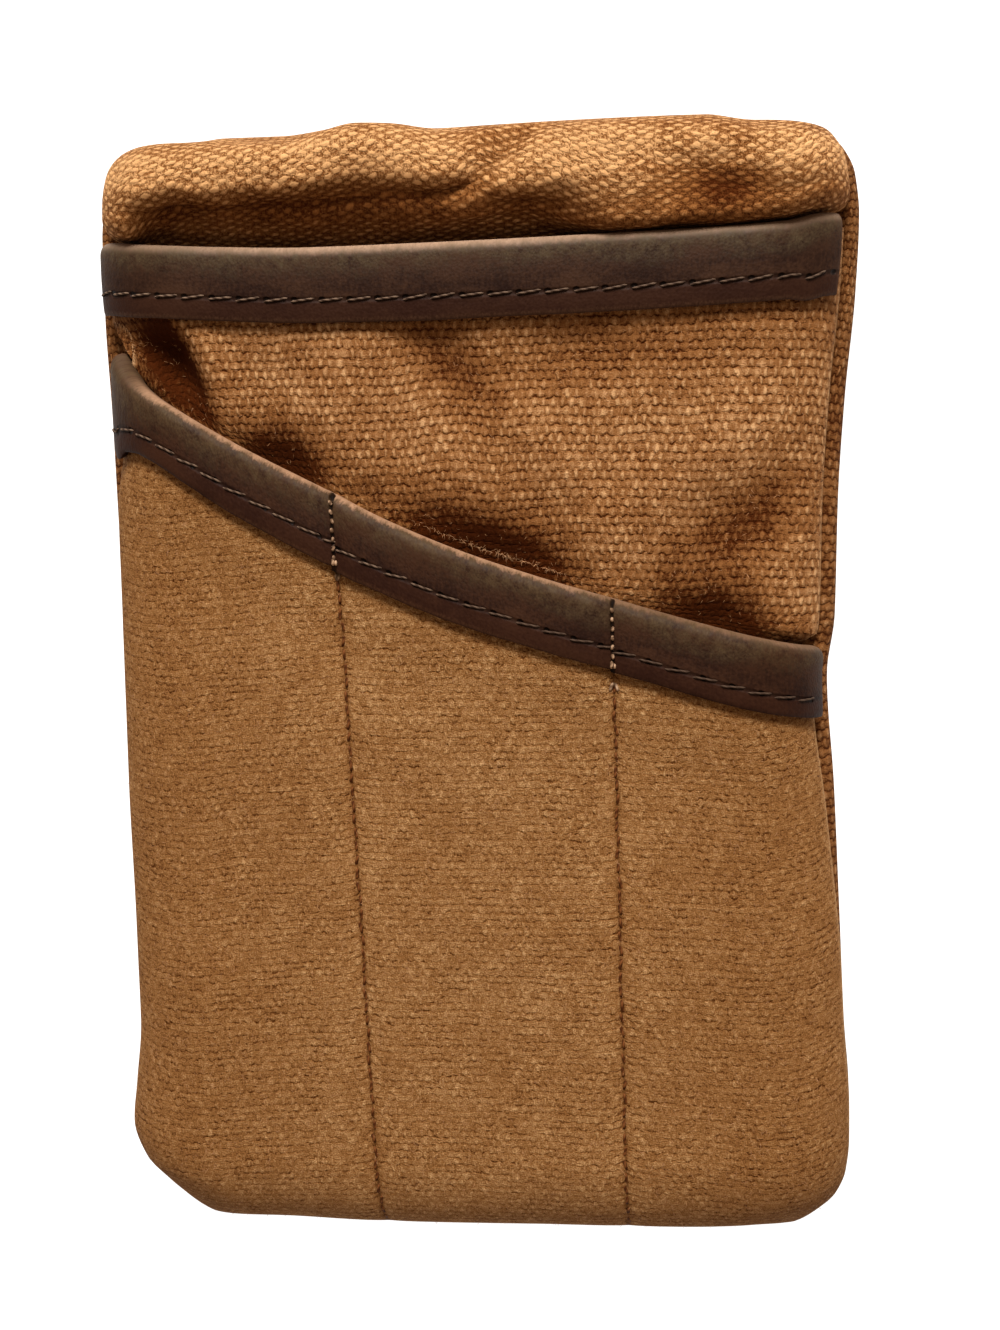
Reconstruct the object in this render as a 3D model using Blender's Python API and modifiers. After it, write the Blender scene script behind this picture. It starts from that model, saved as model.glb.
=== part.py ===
"""Zip pouch of waxed canvas with two leather bound front pockets.

The pouch lies on its back. X runs across it, Y from the bottom seam to the
zipped end and Z up from the surface it rests on. The origin is the middle of
its footprint. The tables are in millimetres and the finished meshes in metres.
"""

import math

import bpy
import numpy as np

MM = 0.001

# Cloth and leather, and the play between layers that are sewn together
CANVAS = 1.1
LEATHER = 1.1
TAPE = 1.0
GAP = 0.3
LAYER_GAP = 0.35
ROLL_EDGE_GAP = 0.55

# Plan outline of the whole pouch, from the bottom seam to the zipped end
HALF_WIDTH = 52.8
HALF_LENGTH = 77.0
OUTLINE = [
    # y, left edge, right edge
    (-77.0, -39.5, 38.5),
    (-76.2, -41.9, 42.6),
    (-74.6, -43.9, 45.9),
    (-72.2, -46.3, 48.8),
    (-69.6, -48.8, 51.1),
    (-66.6, -51.4, 52.2),
    (-62.0, -52.8, 52.6),
    (-56.0, -52.1, 52.5),
    (-46.0, -51.1, 51.7),
    (-30.0, -51.2, 50.9),
    (-12.0, -51.5, 50.0),
    (4.0, -51.5, 48.9),
    (12.0, -51.5, 49.9),
    (28.0, -51.8, 50.2),
    (42.0, -52.1, 51.0),
    (56.0, -52.6, 52.3),
    (66.0, -52.6, 52.7),
    (71.5, -51.9, 52.1),
    (74.5, -50.7, 50.7),
    (76.4, -48.0, 48.6),
    (77.4, -42.5, 44.5),
]

# Bottom seam, seen from above
FOOT_EDGE = [
    # x, y
    (-40.0, -77.4),
    (-29.0, -76.8),
    (-14.0, -77.1),
    (10.0, -76.7),
    (28.0, -76.4),
    (40.0, -75.8),
]

# Height of the turned in seam margin of the back panel, along the sides
SEAM_HEIGHT = [
    # y, height of its upper face
    (-77.0, 4.9),
    (-68.0, 5.4),
    (-54.0, 6.5),
    (-36.0, 7.05),
    (77.0, 7.05),
]

# Section of the back panel at the sides, from the flat back to the seam margin
SIDE_SECTION = [
    # inset from the outline, share of the seam height
    (9.5, 0.0),
    (4.6, 0.0),
    (2.5, 0.09),
    (1.0, 0.28),
    (0.2, 0.50),
    (0.0, 0.70),
    (0.4, 0.88),
    (1.4, 0.98),
    (3.0, 1.0),
    (9.6, 1.0),
]

# Round back of the zipped end, and the slot that the zip lies in: its angles are
# counted down from level, and its places are distances from the middle of the pouch
END_RADIUS = 9.9
END_HEIGHT = 10.45
END_REACH = 77.2
SLOT_BOTTOM = 47.0
SLOT_CLOSED = 20.0
SLOT_OPEN_TO = 32.0
SLOT_SHUT_AT = 38.0
MARGIN_FROM = 42.5
MARGIN_TO = 48.0
TAPE_HALF_LENGTH = 36.0
TAPE_CLEARANCE = 0.75
TAPE_TOP = -4.0
TAPE_FOOT = 61.0
TAPE_TURNS = (0.0, 10.0, 14.5, 25.0, 35.5, 40.0, 50.0)
CHAIN_AT = 25.0
CHAIN_HALF_WIDTH = 15.0
CHAIN_END = 32.5
CHAIN_END_SLOPE = 3.0
CHAIN_RISE = 1.1
SLIDER_AT = 23.0
SLIDER_HALF_LENGTH = 5.0
SLIDER_RISE = 0.6
FLAT_TOP = 0.7

# Front wall of the main compartment, from the bottom seam over the roll
FRONT_PATH = [
    # share of the rows, y, height, follows the mouth, follows the end
    (0.00, -73.2, 6.0, 0.0, 0.0),
    (0.05, -66.0, 7.0, 0.0, 0.0),
    (0.12, -52.0, 7.7, 0.0, 0.0),
    (0.22, -26.0, 7.9, 0.0, 0.0),
    (0.32, 6.0, 7.9, 0.0, 0.0),
    (0.42, 36.0, 7.8, 0.0, 0.0),
    (0.48, 52.0, 7.6, 0.5, 0.0),
    (0.53, 60.0, 7.9, 1.0, 0.0),
    (0.58, 63.6, 9.8, 1.0, 0.0),
    (0.63, 64.5, 12.8, 1.0, 0.0),
    (0.68, 65.0, 15.8, 1.0, 0.0),
    (0.74, 66.8, 18.3, 0.8, 0.2),
    (0.80, 69.6, 19.3, 0.4, 0.6),
    (0.86, 72.8, 18.6, 0.2, 0.8),
    (0.92, 75.6, 15.9, 0.0, 1.0),
    (0.97, 76.9, 12.6, 0.0, 0.6),
    (1.00, 77.2, 9.95, 0.0, 0.3),
]
FLAT_PART_TO = 61.0
ROLL_STARTS = 0.59
ROLL_FULL = 0.72
ROLL_SHOULDER = 8.5
SLOT_SHUTS = (0.93, 1.0)
UNDER_THE_END = 0.9

# Wavy far edge of the roll, seen from above
ROLL_END = [
    # x, how far it reaches past its middle line
    (-52.0, -0.6),
    (-44.0, -0.5),
    (-36.0, -0.6),
    (-24.0, -0.7),
    (-19.0, 0.1),
    (-14.0, 1.1),
    (-10.0, 0.9),
    (-3.0, -0.4),
    (3.0, -0.2),
    (14.0, 0.1),
    (24.0, 0.2),
    (32.0, 0.1),
    (38.0, -0.7),
    (44.0, -0.9),
    (52.0, -1.4),
]

# How far the roll rests on the leather, near both sides of the pouch
SWELL = [
    # share of the path, y and height added where the roll rests on the leather
    (0.53, 0.0, 0.0),
    (0.58, -0.8, 0.0),
    (0.63, -1.5, 0.6),
    (0.68, -1.9, 1.3),
    (0.74, -0.6, 0.1),
    (0.80, 0.0, -0.1),
    (0.86, 0.0, 0.0),
]
SWELL_RIGHT = (9.0, 20.0)
SWELL_LEFT = (-41.5, -46.0)

# Puckers of the roll, gathered by the zip seam behind it. They fade out towards its
# ends and towards the zip, and their lean is counted along a path of this length
PUCKER_PATH = 60.0
PUCKERS_FROM_EDGE = (2.0, 12.0)
PUCKERS_FADE = (0.89, 0.95)
PUCKERS = [
    # x, place on the path, half width, half height, lean, how deep it is pressed in
    (-38.0, 0.70, 5.5, 0.085, 0.2, 2.4),
    (-29.0, 0.69, 5.5, 0.070, 0.0, 0.8),
    (-22.5, 0.73, 9.5, 0.090, 0.0, 2.5),
    (-24.0, 0.86, 5.5, 0.06, -0.6, -0.6),
    (-12.0, 0.87, 7.0, 0.07, 0.3, -0.6),
    (-14.0, 0.69, 5.5, 0.075, 0.0, 1.0),
    (-7.0, 0.74, 8.5, 0.085, 0.2, 2.4),
    (3.5, 0.82, 3.6, 0.09, 0.9, 1.9),
    (9.0, 0.70, 6.5, 0.07, 0.2, 1.8),
    (18.0, 0.82, 8.0, 0.10, -0.2, -0.8),
    (32.0, 0.77, 7.5, 0.065, -0.4, 1.7),
    (43.0, 0.84, 5.0, 0.10, 0.0, -0.6),
]

# Slip pocket over the whole front
UPPER_MOUTH = [
    # x, y of the leather's upper edge, width of the leather
    (-52.0, 65.2, 9.4),
    (-48.0, 64.1, 9.3),
    (-42.0, 63.0, 9.2),
    (-34.0, 62.4, 9.3),
    (-20.0, 61.9, 9.5),
    (-6.0, 62.0, 9.6),
    (8.0, 62.2, 9.6),
    (22.0, 62.5, 9.6),
    (36.0, 62.9, 9.5),
    (42.0, 63.4, 9.5),
    (46.0, 64.5, 10.1),
    (52.0, 65.4, 10.2),
]
UPPER_MOUTH_HEIGHT = 14.9
UPPER_BODY_HEIGHT = 13.4
UPPER_FALLS = (4.0, 18.0)
UPPER_FOOT = -72.6
UPPER_FOOT_SLOPE = 16.0

# Slope of the slip pocket beside the slanting mouth, across that mouth: where it
# comes out from below the lower pocket, rises, and carries its folds
COMES_OUT = (-8.0, -1.0)
RISES = (-7.0, 0.0)
FOLDS_FROM_SLANT = (-7.0, -2.0)
FOLDS_TO_MOUTH = (9.2, 13.2)

# Folds and hollows of the slip pocket between the two bindings
FOLDS = [
    # x, y, turn, half length, half width, how far it stands out
    (-42.0, 47.2, -61.0, 8.0, 3.6, -2.4),
    (-38.8, 46.4, -68.0, 9.0, 2.4, -2.6),
    (-34.6, 48.0, -66.0, 8.0, 2.4, 0.9),
    (-26.5, 32.2, -32.0, 6.5, 6.0, -3.7),
    (-16.5, 41.0, 78.0, 9.0, 5.0, 0.5),
    (1.5, 19.6, -20.0, 10.5, 6.2, -3.7),
    (29.0, 33.0, 45.0, 17.0, 4.6, 0.9),
    (33.0, 10.2, -13.0, 7.5, 5.4, -3.7),
]

# Pocket with the slanting mouth, split into three slots
LOWER_MOUTH = [
    # x, y of the leather's upper edge, width of the leather
    (-52.0, 56.0, 5.6),
    (-49.5, 52.2, 6.0),
    (-46.5, 46.6, 6.4),
    (-44.0, 44.0, 6.7),
    (-38.0, 40.2, 7.3),
    (-30.0, 35.6, 8.0),
    (-20.0, 30.5, 8.5),
    (-10.0, 25.4, 8.7),
    (0.0, 21.2, 8.8),
    (10.0, 17.8, 8.8),
    (20.0, 14.8, 8.8),
    (30.0, 11.9, 9.0),
    (40.0, 9.3, 9.3),
    (52.0, 6.9, 9.5),
]
LOWER_MOUTH_HEIGHT = 16.1
LOWER_BODY_HEIGHT = 14.9
LOWER_FALLS = (6.0, 22.0)
SLOT_SEAMS = [
    # x at the bottom edge, x at the mouth
    (-13.7, -17.5),
    (21.2, 19.4),
]
SEAM_TOP = 20.0
SEAM_GROOVE = 0.45
SEAM_GROOVE_HALF_WIDTH = 2.4
SEAM_RIDGE_HALF_WIDTH = 3.6

# Inset of each layer's side edges from the outline: left, right
ROLL_INSET = (2.5, 2.2)
FRONT_INSET = (7.2, 7.8)
UPPER_INSET = (2.8, 2.9)
UPPER_HIDDEN_INSET = (6.0, 6.4)
LOWER_INSET = [
    # y, left, right
    (-77.0, 1.2, 0.7),
    (-38.0, 1.5, 0.7),
    (-16.0, 1.5, 1.8),
    (-4.0, 1.5, 2.6),
    (10.0, 1.5, 2.8),
    (28.0, 1.8, 2.8),
    (36.0, 3.1, 2.8),
    (52.0, 3.6, 2.8),
]
COVERED = (-4.5, 0.3)
TUCK = 0.7
TUCK_DEPTH = 0.3
SHOULDER = 13.0
FOOT_SHOULDER = 13.0
CLEAR_OF_EDGE = 1.5
FOOT_INSET = 0.8

# Section of a binding: depth below its fold, and side of the pocket wall
BAND_SECTION = [
    # share of the band's width, offset as a share of its stand off
    (1.00, 1.0),
    (0.72, 1.0),
    (0.44, 1.0),
    (0.20, 1.0),
    (0.10, 0.78),
    (0.057, 0.0),
    (0.10, -0.78),
    (0.20, -1.0),
    (0.38, -1.0),
    (0.56, -1.0),
]
EDGE_UNDER_FOLD = 1.75

# Mesh rows
SIDE_SPREAD = [
    # share of the rows, y
    (0.0, -76.6),
    (0.12, -68.0),
    (0.25, -52.0),
    (0.5, 0.0),
    (0.75, 50.0),
    (0.88, 68.0),
    (1.0, 77.0),
]
SIDE_ROWS = 25
END_ROWS = 13
FRONT_ACROSS = 19
NEAR_EDGE = 0.0028
LEATHER_END = 0.0124
SEAM_SHARES = (0.352, 0.706)
SLOT_COLUMNS = (7, 6, 6)
FRONT_ROWS = 26
FRONT_SPREAD = [
    # share of the rows, share of the path
    (0.0, 0.0),
    (0.3, 0.40),
    (0.42, 0.53),
    (1.0, 1.0),
]
UPPER_ROWS = (4, 5, 16)
LOWER_ROWS = (8, 7, 4)
ROUNDED_FOOT = 15.0
BELOW_SLANT = 5.0
BELOW_LOWER_BAND = 14.0
TAPE_STEPS = 17
SMALL_STEP = 0.5
PATH_STEP = 0.004
ACROSS_STEP = 0.01

# Colours, linear
CANVAS_COLOUR = (0.275, 0.130, 0.048)
LEATHER_COLOUR = (0.058, 0.030, 0.019)
TAPE_COLOUR = (0.070, 0.036, 0.020)


def read(table, column, at):
    """Smooth curve through a column of a table, with the first column as the place. It
    is level at each high or low row, so it never swings past the rows."""
    rows = np.array(table, float)
    place, value = rows[:, 0], rows[:, column]
    secant = np.diff(value) / np.diff(place)
    before, after = secant[:-1], secant[1:]
    level = before * after <= 0
    middle = np.where(level, 0, 2 * before * after / np.where(level, 1, before + after))
    slope = np.concatenate([secant[:1], middle, secant[-1:]])
    at = np.clip(at, place[0], place[-1])
    row = np.clip(np.searchsorted(place, at) - 1, 0, len(place) - 2)
    step = place[row + 1] - place[row]
    t = (at - place[row]) / step
    return (
        (1 + 2 * t) * (1 - t) ** 2 * value[row]
        + t * (1 - t) ** 2 * step * slope[row]
        + t * t * (3 - 2 * t) * value[row + 1]
        - t * t * (1 - t) * step * slope[row + 1]
    )


def ease(low, high, at):
    """Rises softly from 0 at low to 1 at high."""
    t = np.clip((at - low) / (high - low), 0, 1)
    return t * t * (3 - 2 * t)


def shoulder(distance, radius):
    """Quarter ellipse: 0 and upright at the edge, 1 and level a radius further in."""
    t = 1 - np.clip(distance / radius, 0, 1)
    return np.sqrt(1 - t * t)


def bump(x, y, row):
    """Long soft fold with its own turn, length and width."""
    at_x, at_y, turn, half_length, half_width, rise = row
    c, s = math.cos(math.radians(turn)), math.sin(math.radians(turn))
    along = (x - at_x) * c + (y - at_y) * s
    aside = (y - at_y) * c - (x - at_x) * s
    return rise * np.exp(-((along / half_length) ** 2) - (aside / half_width) ** 2)


def between_edges(u, y, inset):
    """x at a share u of the way from the left edge to the right one, with both insets."""
    left = read(OUTLINE, 1, y) + inset[0]
    right = read(OUTLINE, 2, y) - inset[1]
    return left + (right - left) * u


def edge_distance(u, x, y, inset):
    """Distance to the nearer side edge of a layer."""
    left = read(OUTLINE, 1, y) + inset[0]
    right = read(OUTLINE, 2, y) - inset[1]
    return np.where(u < 0.5, x - left, right - x)


def foot_edge(x):
    """y of the front layers' bottom edge, a little inside the bottom seam."""
    return read(FOOT_EDGE, 1, x) + FOOT_INSET


def upper_lines(x):
    """y of the lines that the slip pocket's rows run between: its bottom edge inside
    the lower pocket, the end of the rounding, the slanting mouth and its own cut edge."""
    top = read(UPPER_MOUTH, 1, x) - EDGE_UNDER_FOLD * slant(UPPER_MOUTH, x)
    slanting = read(LOWER_MOUTH, 1, x) - BELOW_SLANT
    return UPPER_FOOT + 0 * x, UPPER_FOOT + ROUNDED_FOOT + 0 * x, slanting, top


def lower_lines(x):
    """y of the lines that the lower pocket's rows run between: its bottom edge, the
    end of the rounding, the foot of the binding and its cut edge."""
    top = read(LOWER_MOUTH, 1, x) - EDGE_UNDER_FOLD * slant(LOWER_MOUTH, x)
    foot = foot_edge(x)
    return foot, foot + ROUNDED_FOOT, read(LOWER_MOUTH, 1, x) - BELOW_LOWER_BAND, top


def rows_between(lines, counts):
    """Rows of y that share out the strips between neighbouring lines evenly."""
    rows = [lines[0]]
    for start, end, count in zip(lines[:-1], lines[1:], counts):
        share = np.arange(1, count + 1)[:, None] / count
        rows.append(start + (end - start) * share)
    return np.concatenate(rows)


def slant(table, x):
    """Length along the pocket for each unit square to the slanting mouth."""
    before, after = read(table, 1, x - SMALL_STEP), read(table, 1, x + SMALL_STEP)
    return np.hypot(1, (after - before) / (2 * SMALL_STEP))


def seam_x(seam, y):
    """x of a slot seam at a height y."""
    foot, mouth = seam
    return foot + (mouth - foot) * (y + HALF_LENGTH) / (SEAM_TOP + HALF_LENGTH)


def groove(x, y, half_width):
    """1 on the two slot seams, falling off softly to both sides."""
    near = np.zeros_like(x)
    for seam in SLOT_SEAMS:
        near = np.maximum(near, np.exp(-(((x - seam_x(seam, y)) / half_width) ** 2)))
    return near


def lower_pocket_at(u, y):
    """Middle surface of the pocket with the slanting mouth. Its side edges are tucked
    in towards the seam."""
    inset = read(LOWER_INSET, 1, y), read(LOWER_INSET, 2, y)
    x = between_edges(u, y, inset)
    distance = edge_distance(u, x, y, inset)
    edge = read(SEAM_HEIGHT, 1, y) + LAYER_GAP
    fallen = ease(*LOWER_FALLS, read(LOWER_MOUTH, 1, x) - y)
    top = LOWER_MOUTH_HEIGHT + (LOWER_BODY_HEIGHT - LOWER_MOUTH_HEIGHT) * fallen
    sides = shoulder(distance, SHOULDER)
    foot = shoulder(y - foot_edge(x), FOOT_SHOULDER)
    z = edge + (top - edge) * sides * foot
    z -= SEAM_GROOVE * groove(x, y, SEAM_GROOVE_HALF_WIDTH) * foot
    tuck = TUCK * (1 - ease(0, TUCK_DEPTH, distance))
    return x + np.where(u < 0.5, tuck, -tuck), y, z


def front_flat(y):
    """Height of the front wall's middle surface below the roll."""
    return read([(row[1], row[2]) for row in FRONT_PATH if row[1] < FLAT_PART_TO], 1, y)


def upper_inset(u, x, y):
    """The slip pocket's edges lie further in where the lower pocket covers them."""
    covered = ease(*COVERED, read(LOWER_MOUTH, 1, x) - y)
    return [seen + (hidden - seen) * covered for seen, hidden in zip(UPPER_INSET, UPPER_HIDDEN_INSET)]


def upper_pocket_at(u, y):
    """Middle surface of the slip pocket: puffed between the bindings, and flat under
    the lower pocket apart from a ridge up to each slot seam."""
    x = between_edges(u, y, UPPER_INSET)
    inset = upper_inset(u, x, y)
    x = between_edges(u, y, inset)
    above_slant = y - read(LOWER_MOUTH, 1, x)
    below_mouth = read(UPPER_MOUTH, 1, x) - y
    seam = read(SEAM_HEIGHT, 1, y)
    distance = edge_distance(u, x, y, inset)

    fallen = ease(*UPPER_FALLS, below_mouth)
    puff = UPPER_MOUTH_HEIGHT + (UPPER_BODY_HEIGHT - UPPER_MOUTH_HEIGHT) * fallen
    folds = sum(bump(x, y, row) for row in FOLDS)
    folds = folds * ease(*FOLDS_FROM_SLANT, above_slant) * ease(*FOLDS_TO_MOUTH, below_mouth)
    tucked = front_flat(y) + CANVAS + LAYER_GAP
    open_top = tucked + (puff - tucked) * ease(*RISES, above_slant)
    open_top = np.maximum(open_top + folds, tucked + GAP)
    edge = seam + LAYER_GAP
    seen = edge + (open_top - edge) * shoulder(distance, SHOULDER)
    seen = np.maximum(seen, edge + (tucked - edge) * shoulder(distance, CLEAR_OF_EDGE))

    ridge_top = LOWER_BODY_HEIGHT - SEAM_GROOVE - CANVAS - GAP
    foot = shoulder(y - foot_edge(x), FOOT_SHOULDER)
    foot = foot * ease(UPPER_FOOT, UPPER_FOOT + UPPER_FOOT_SLOPE, y)
    ridge = (ridge_top - tucked) * groove(x, y, SEAM_RIDGE_HALF_WIDTH) * foot
    hidden = tucked + ridge

    z = hidden + (seen - hidden) * ease(*COMES_OUT, above_slant)
    return x, y, z


def pucker(x, t, row):
    """How far one pucker presses the roll in, at a place along the front wall's path."""
    at_x, at_t, half_width, half_height, lean, depth = row
    aside = x - at_x - lean * (t - at_t) * PUCKER_PATH
    return depth * np.exp(-((aside / half_width) ** 2) - ((t - at_t) / half_height) ** 2)


def front_panel_at(u, t):
    """Middle surface of the front wall, along its path from the bottom seam over the roll."""
    z = read(FRONT_PATH, 2, t)
    rolled = ease(ROLL_STARTS, ROLL_FULL, t)
    inset = [flat + (roll - flat) * rolled for flat, roll in zip(FRONT_INSET, ROLL_INSET)]
    x = -HALF_WIDTH + 2 * HALF_WIDTH * u
    for _ in range(3):
        mouth = read(UPPER_MOUTH, 1, x) - read(UPPER_MOUTH, 1, 0.0)
        y = read(FRONT_PATH, 1, t) + read(FRONT_PATH, 3, t) * mouth
        y = y + read(FRONT_PATH, 4, t) * read(ROLL_END, 1, x)
        swell = np.maximum(ease(*SWELL_RIGHT, x), ease(*SWELL_LEFT, x))
        y = y + swell * read(SWELL, 1, t)
        x = between_edges(u, y, inset)
    distance = edge_distance(u, x, y, inset)
    z = z + swell * read(SWELL, 2, t)

    shut = ease(SLOT_OPEN_TO, SLOT_SHUT_AT, np.abs(x)) * ease(*SLOT_SHUTS, t)
    shut_turn = math.radians(SLOT_CLOSED) - (GAP + LAYER_GAP) / END_RADIUS
    z = z + (END_HEIGHT - END_RADIUS * math.sin(shut_turn) - z) * shut
    under = np.clip(END_HEIGHT - z, 0, None) * (t > UNDER_THE_END)
    y = y - (END_RADIUS - np.sqrt(END_RADIUS**2 - under**2))

    run = read(FRONT_PATH, 1, t + PATH_STEP) - read(FRONT_PATH, 1, t - PATH_STEP)
    rise = read(FRONT_PATH, 2, t + PATH_STEP) - read(FRONT_PATH, 2, t - PATH_STEP)
    length = np.hypot(run, rise)
    pressed = sum(pucker(x, t, row) for row in PUCKERS)
    pressed = pressed * ease(*PUCKERS_FROM_EDGE, distance) * (1 - ease(*PUCKERS_FADE, t))
    y = y + pressed * rise / length
    z = z - pressed * run / length

    seam = read(SEAM_HEIGHT, 1, y)
    flat_edge = seam + GAP + CANVAS / 2
    edge = flat_edge + (seam + ROLL_EDGE_GAP - flat_edge) * rolled
    z = np.where(rolled > 0, edge + (z - edge) * shoulder(distance, ROLL_SHOULDER), z)
    return x, y, z


def zip_at(along, turn):
    """Middle surface of the zip: a tape on the inside of the round end with a raised
    row of teeth along its middle and the slider at one end of them."""
    x = -TAPE_HALF_LENGTH + 2 * TAPE_HALF_LENGTH * along
    on_chain = 1 - ease(CHAIN_HALF_WIDTH * FLAT_TOP, CHAIN_HALF_WIDTH, np.abs(turn - CHAIN_AT))
    on_chain = on_chain * (1 - ease(CHAIN_END - CHAIN_END_SLOPE, CHAIN_END, np.abs(x)))
    on_slider = 1 - ease(SLIDER_HALF_LENGTH * FLAT_TOP, SLIDER_HALF_LENGTH, np.abs(x - SLIDER_AT))
    inner = END_RADIUS - CANVAS / 2 - TAPE_CLEARANCE - TAPE / 2
    radius = inner + on_chain * (CHAIN_RISE + SLIDER_RISE * on_slider)
    angle = np.radians(turn)
    centre = END_REACH - END_RADIUS
    return x, centre + radius * np.cos(angle), END_HEIGHT - radius * np.sin(angle)


def stack(x, y, z):
    """Points in metres from three arrays in millimetres."""
    return np.stack(np.broadcast_arrays(x, y, z), -1) * MM


def clustered(count, strength):
    """Shares from 0 to 1 that crowd towards both ends."""
    even = np.linspace(0, 1, count)
    return (1 - strength) * even + strength * (0.5 - 0.5 * np.cos(np.pi * even))


def across_shares():
    """Shares across a pocket, with a column on each slot seam and two close to each
    side edge. The leather of its binding is cut off at the inner one."""
    left, middle, right = SLOT_COLUMNS
    first, second = SEAM_SHARES
    return np.concatenate([
        [0, NEAR_EDGE],
        np.linspace(LEATHER_END, first, left + 1)[:-1],
        np.linspace(first, second, middle + 1)[:-1],
        np.linspace(second, 1 - LEATHER_END, right + 1),
        [1 - NEAR_EDGE, 1],
    ])


def make_material(name, colour, roughness):
    """Plain Principled material."""
    material = bpy.data.materials.new(name)
    material.use_nodes = True
    shader = material.node_tree.nodes["Principled BSDF"]
    shader.inputs["Base Color"].default_value = (*colour, 1)
    shader.inputs["Roughness"].default_value = roughness
    material.diffuse_color = (*colour, 1)
    return material


def make_sheet(name, points, faces, thickness, material, parent, collection, even=True):
    """A named object whose open middle surface is thickened to both sides."""
    mesh = bpy.data.meshes.new(name)
    mesh.from_pydata(points.reshape(-1, 3).tolist(), [], faces)
    mesh.materials.append(material)
    sheet = bpy.data.objects.new(name, mesh)
    thicken = sheet.modifiers.new("wall", "SOLIDIFY")
    thicken.thickness = thickness * MM
    thicken.offset = 0
    thicken.use_even_offset = even
    sheet.parent = parent
    collection.objects.link(sheet)
    return sheet


def grid_faces(rows, columns, closed=False):
    """Four sided faces between neighbouring rows and columns of a grid of points."""
    row = np.arange(rows - 1)[:, None]
    column = np.arange(columns if closed else columns - 1)[None, :]
    beside = (column + 1) % columns
    corners = [row * columns + column, row * columns + beside]
    corners += [(row + 1) * columns + beside, (row + 1) * columns + column]
    return np.stack(np.broadcast_arrays(*corners), -1).reshape(-1, 4).tolist()


def outline_loop():
    """Plan outline as a closed loop: bottom edge, right side, zipped end, left side."""
    sides = read(SIDE_SPREAD, 1, np.linspace(0, 1, SIDE_ROWS))
    foot = np.linspace(read(OUTLINE, 1, -HALF_LENGTH), read(OUTLINE, 2, -HALF_LENGTH), END_ROWS)[1:-1]
    end = np.linspace(read(OUTLINE, 2, END_REACH), read(OUTLINE, 1, END_REACH), END_ROWS + 2)[1:-1]
    x = np.concatenate([foot, read(OUTLINE, 2, sides), end, read(OUTLINE, 1, sides[::-1])])
    y = np.concatenate([read(FOOT_EDGE, 1, foot), sides, np.full_like(end, END_REACH), sides[::-1]])
    return x, y


def back_panel(*made_with):
    """Tray: a flat back whose edge curves up into the sides and the turned in seam
    margin, and at the zipped end only up to the lower edge of the zip."""
    x, y = outline_loop()
    section = np.array(SIDE_SECTION)
    inset = section[:, 0][:, None] + CANVAS / 2
    seam = read(SEAM_HEIGHT, 1, y) - CANVAS / 2
    height = CANVAS / 2 + section[:, 1][:, None] * (seam - CANVAS / 2)

    rim = SLOT_BOTTOM + (SLOT_CLOSED - SLOT_BOTTOM) * ease(SLOT_OPEN_TO, SLOT_SHUT_AT, np.abs(x))
    turn = np.radians(90 + (rim - 90) * np.linspace(0, 1, len(section))[:, None])
    end_inset = END_RADIUS * (1 - np.cos(turn))
    end_height = END_HEIGHT - END_RADIUS * np.sin(turn)
    at_end = (1 - ease(MARGIN_FROM, MARGIN_TO, np.abs(x))) * (y > END_REACH - END_RADIUS)
    inset = inset + (end_inset - inset) * at_end
    height = height + (end_height - height) * at_end

    ring_x = x * (1 - inset * (1 - at_end) / HALF_WIDTH)
    ring_y = y * (1 - inset / HALF_LENGTH)
    points = stack(ring_x, ring_y, height)
    faces = grid_faces(*points.shape[:2], closed=True)
    faces.append(list(range(len(x)))[::-1])
    faces = [face[::-1] for face in faces]
    return make_sheet("back_panel", points, faces, CANVAS, *made_with)


def front_panel(*made_with):
    """Front wall of the main compartment with the puckered roll."""
    u = clustered(FRONT_ACROSS, 0.55)[None, :]
    t = read(FRONT_SPREAD, 1, np.linspace(0, 1, FRONT_ROWS))[:, None]
    points = stack(*front_panel_at(u + 0 * t, t + 0 * u))
    faces = grid_faces(*points.shape[:2])
    return make_sheet("front_panel", points, faces, CANVAS, *made_with, even=False)


def pocket(name, surface, lines, rows, *made_with):
    """Pocket wall from its foot up to its cut edge inside the binding."""
    u = across_shares()[None, :]
    x = -HALF_WIDTH + 2 * HALF_WIDTH * u
    for _ in range(4):
        y = rows_between([line[-1:] for line in lines(x)], rows)
        x = surface(u, y)[0]
    points = stack(*surface(u, y))
    return make_sheet(name, points, grid_faces(*points.shape[:2]), CANVAS, *made_with)


def binding(name, surface, mouth, *made_with):
    """Leather folded over a pocket's mouth: it keeps a fixed distance from both faces
    of the pocket wall, along the wall's own normals."""
    section = np.array(BAND_SECTION)
    u = across_shares()[None, 2:-2] + np.zeros((len(section), 1))
    x = -HALF_WIDTH + 2 * HALF_WIDTH * u
    for _ in range(4):
        y = read(mouth, 1, x) - section[:, 0][:, None] * read(mouth, 2, x) * slant(mouth, x)
        x = surface(u, y)[0]
    here = stack(*surface(u, y))
    left, right = np.clip(u - ACROSS_STEP, 0, 1), np.clip(u + ACROSS_STEP, 0, 1)
    across = stack(*surface(right, y)) - stack(*surface(left, y))
    along = stack(*surface(u, y + SMALL_STEP)) - stack(*surface(u, y - SMALL_STEP))
    normal = np.cross(across, along)
    normal /= np.linalg.norm(normal, axis=-1, keepdims=True)
    stand_off = CANVAS / 2 + GAP + LEATHER / 2
    points = here + normal * section[:, 1][:, None, None] * stand_off * MM
    return make_sheet(name, points, grid_faces(*points.shape[:2]), LEATHER, *made_with)


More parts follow.
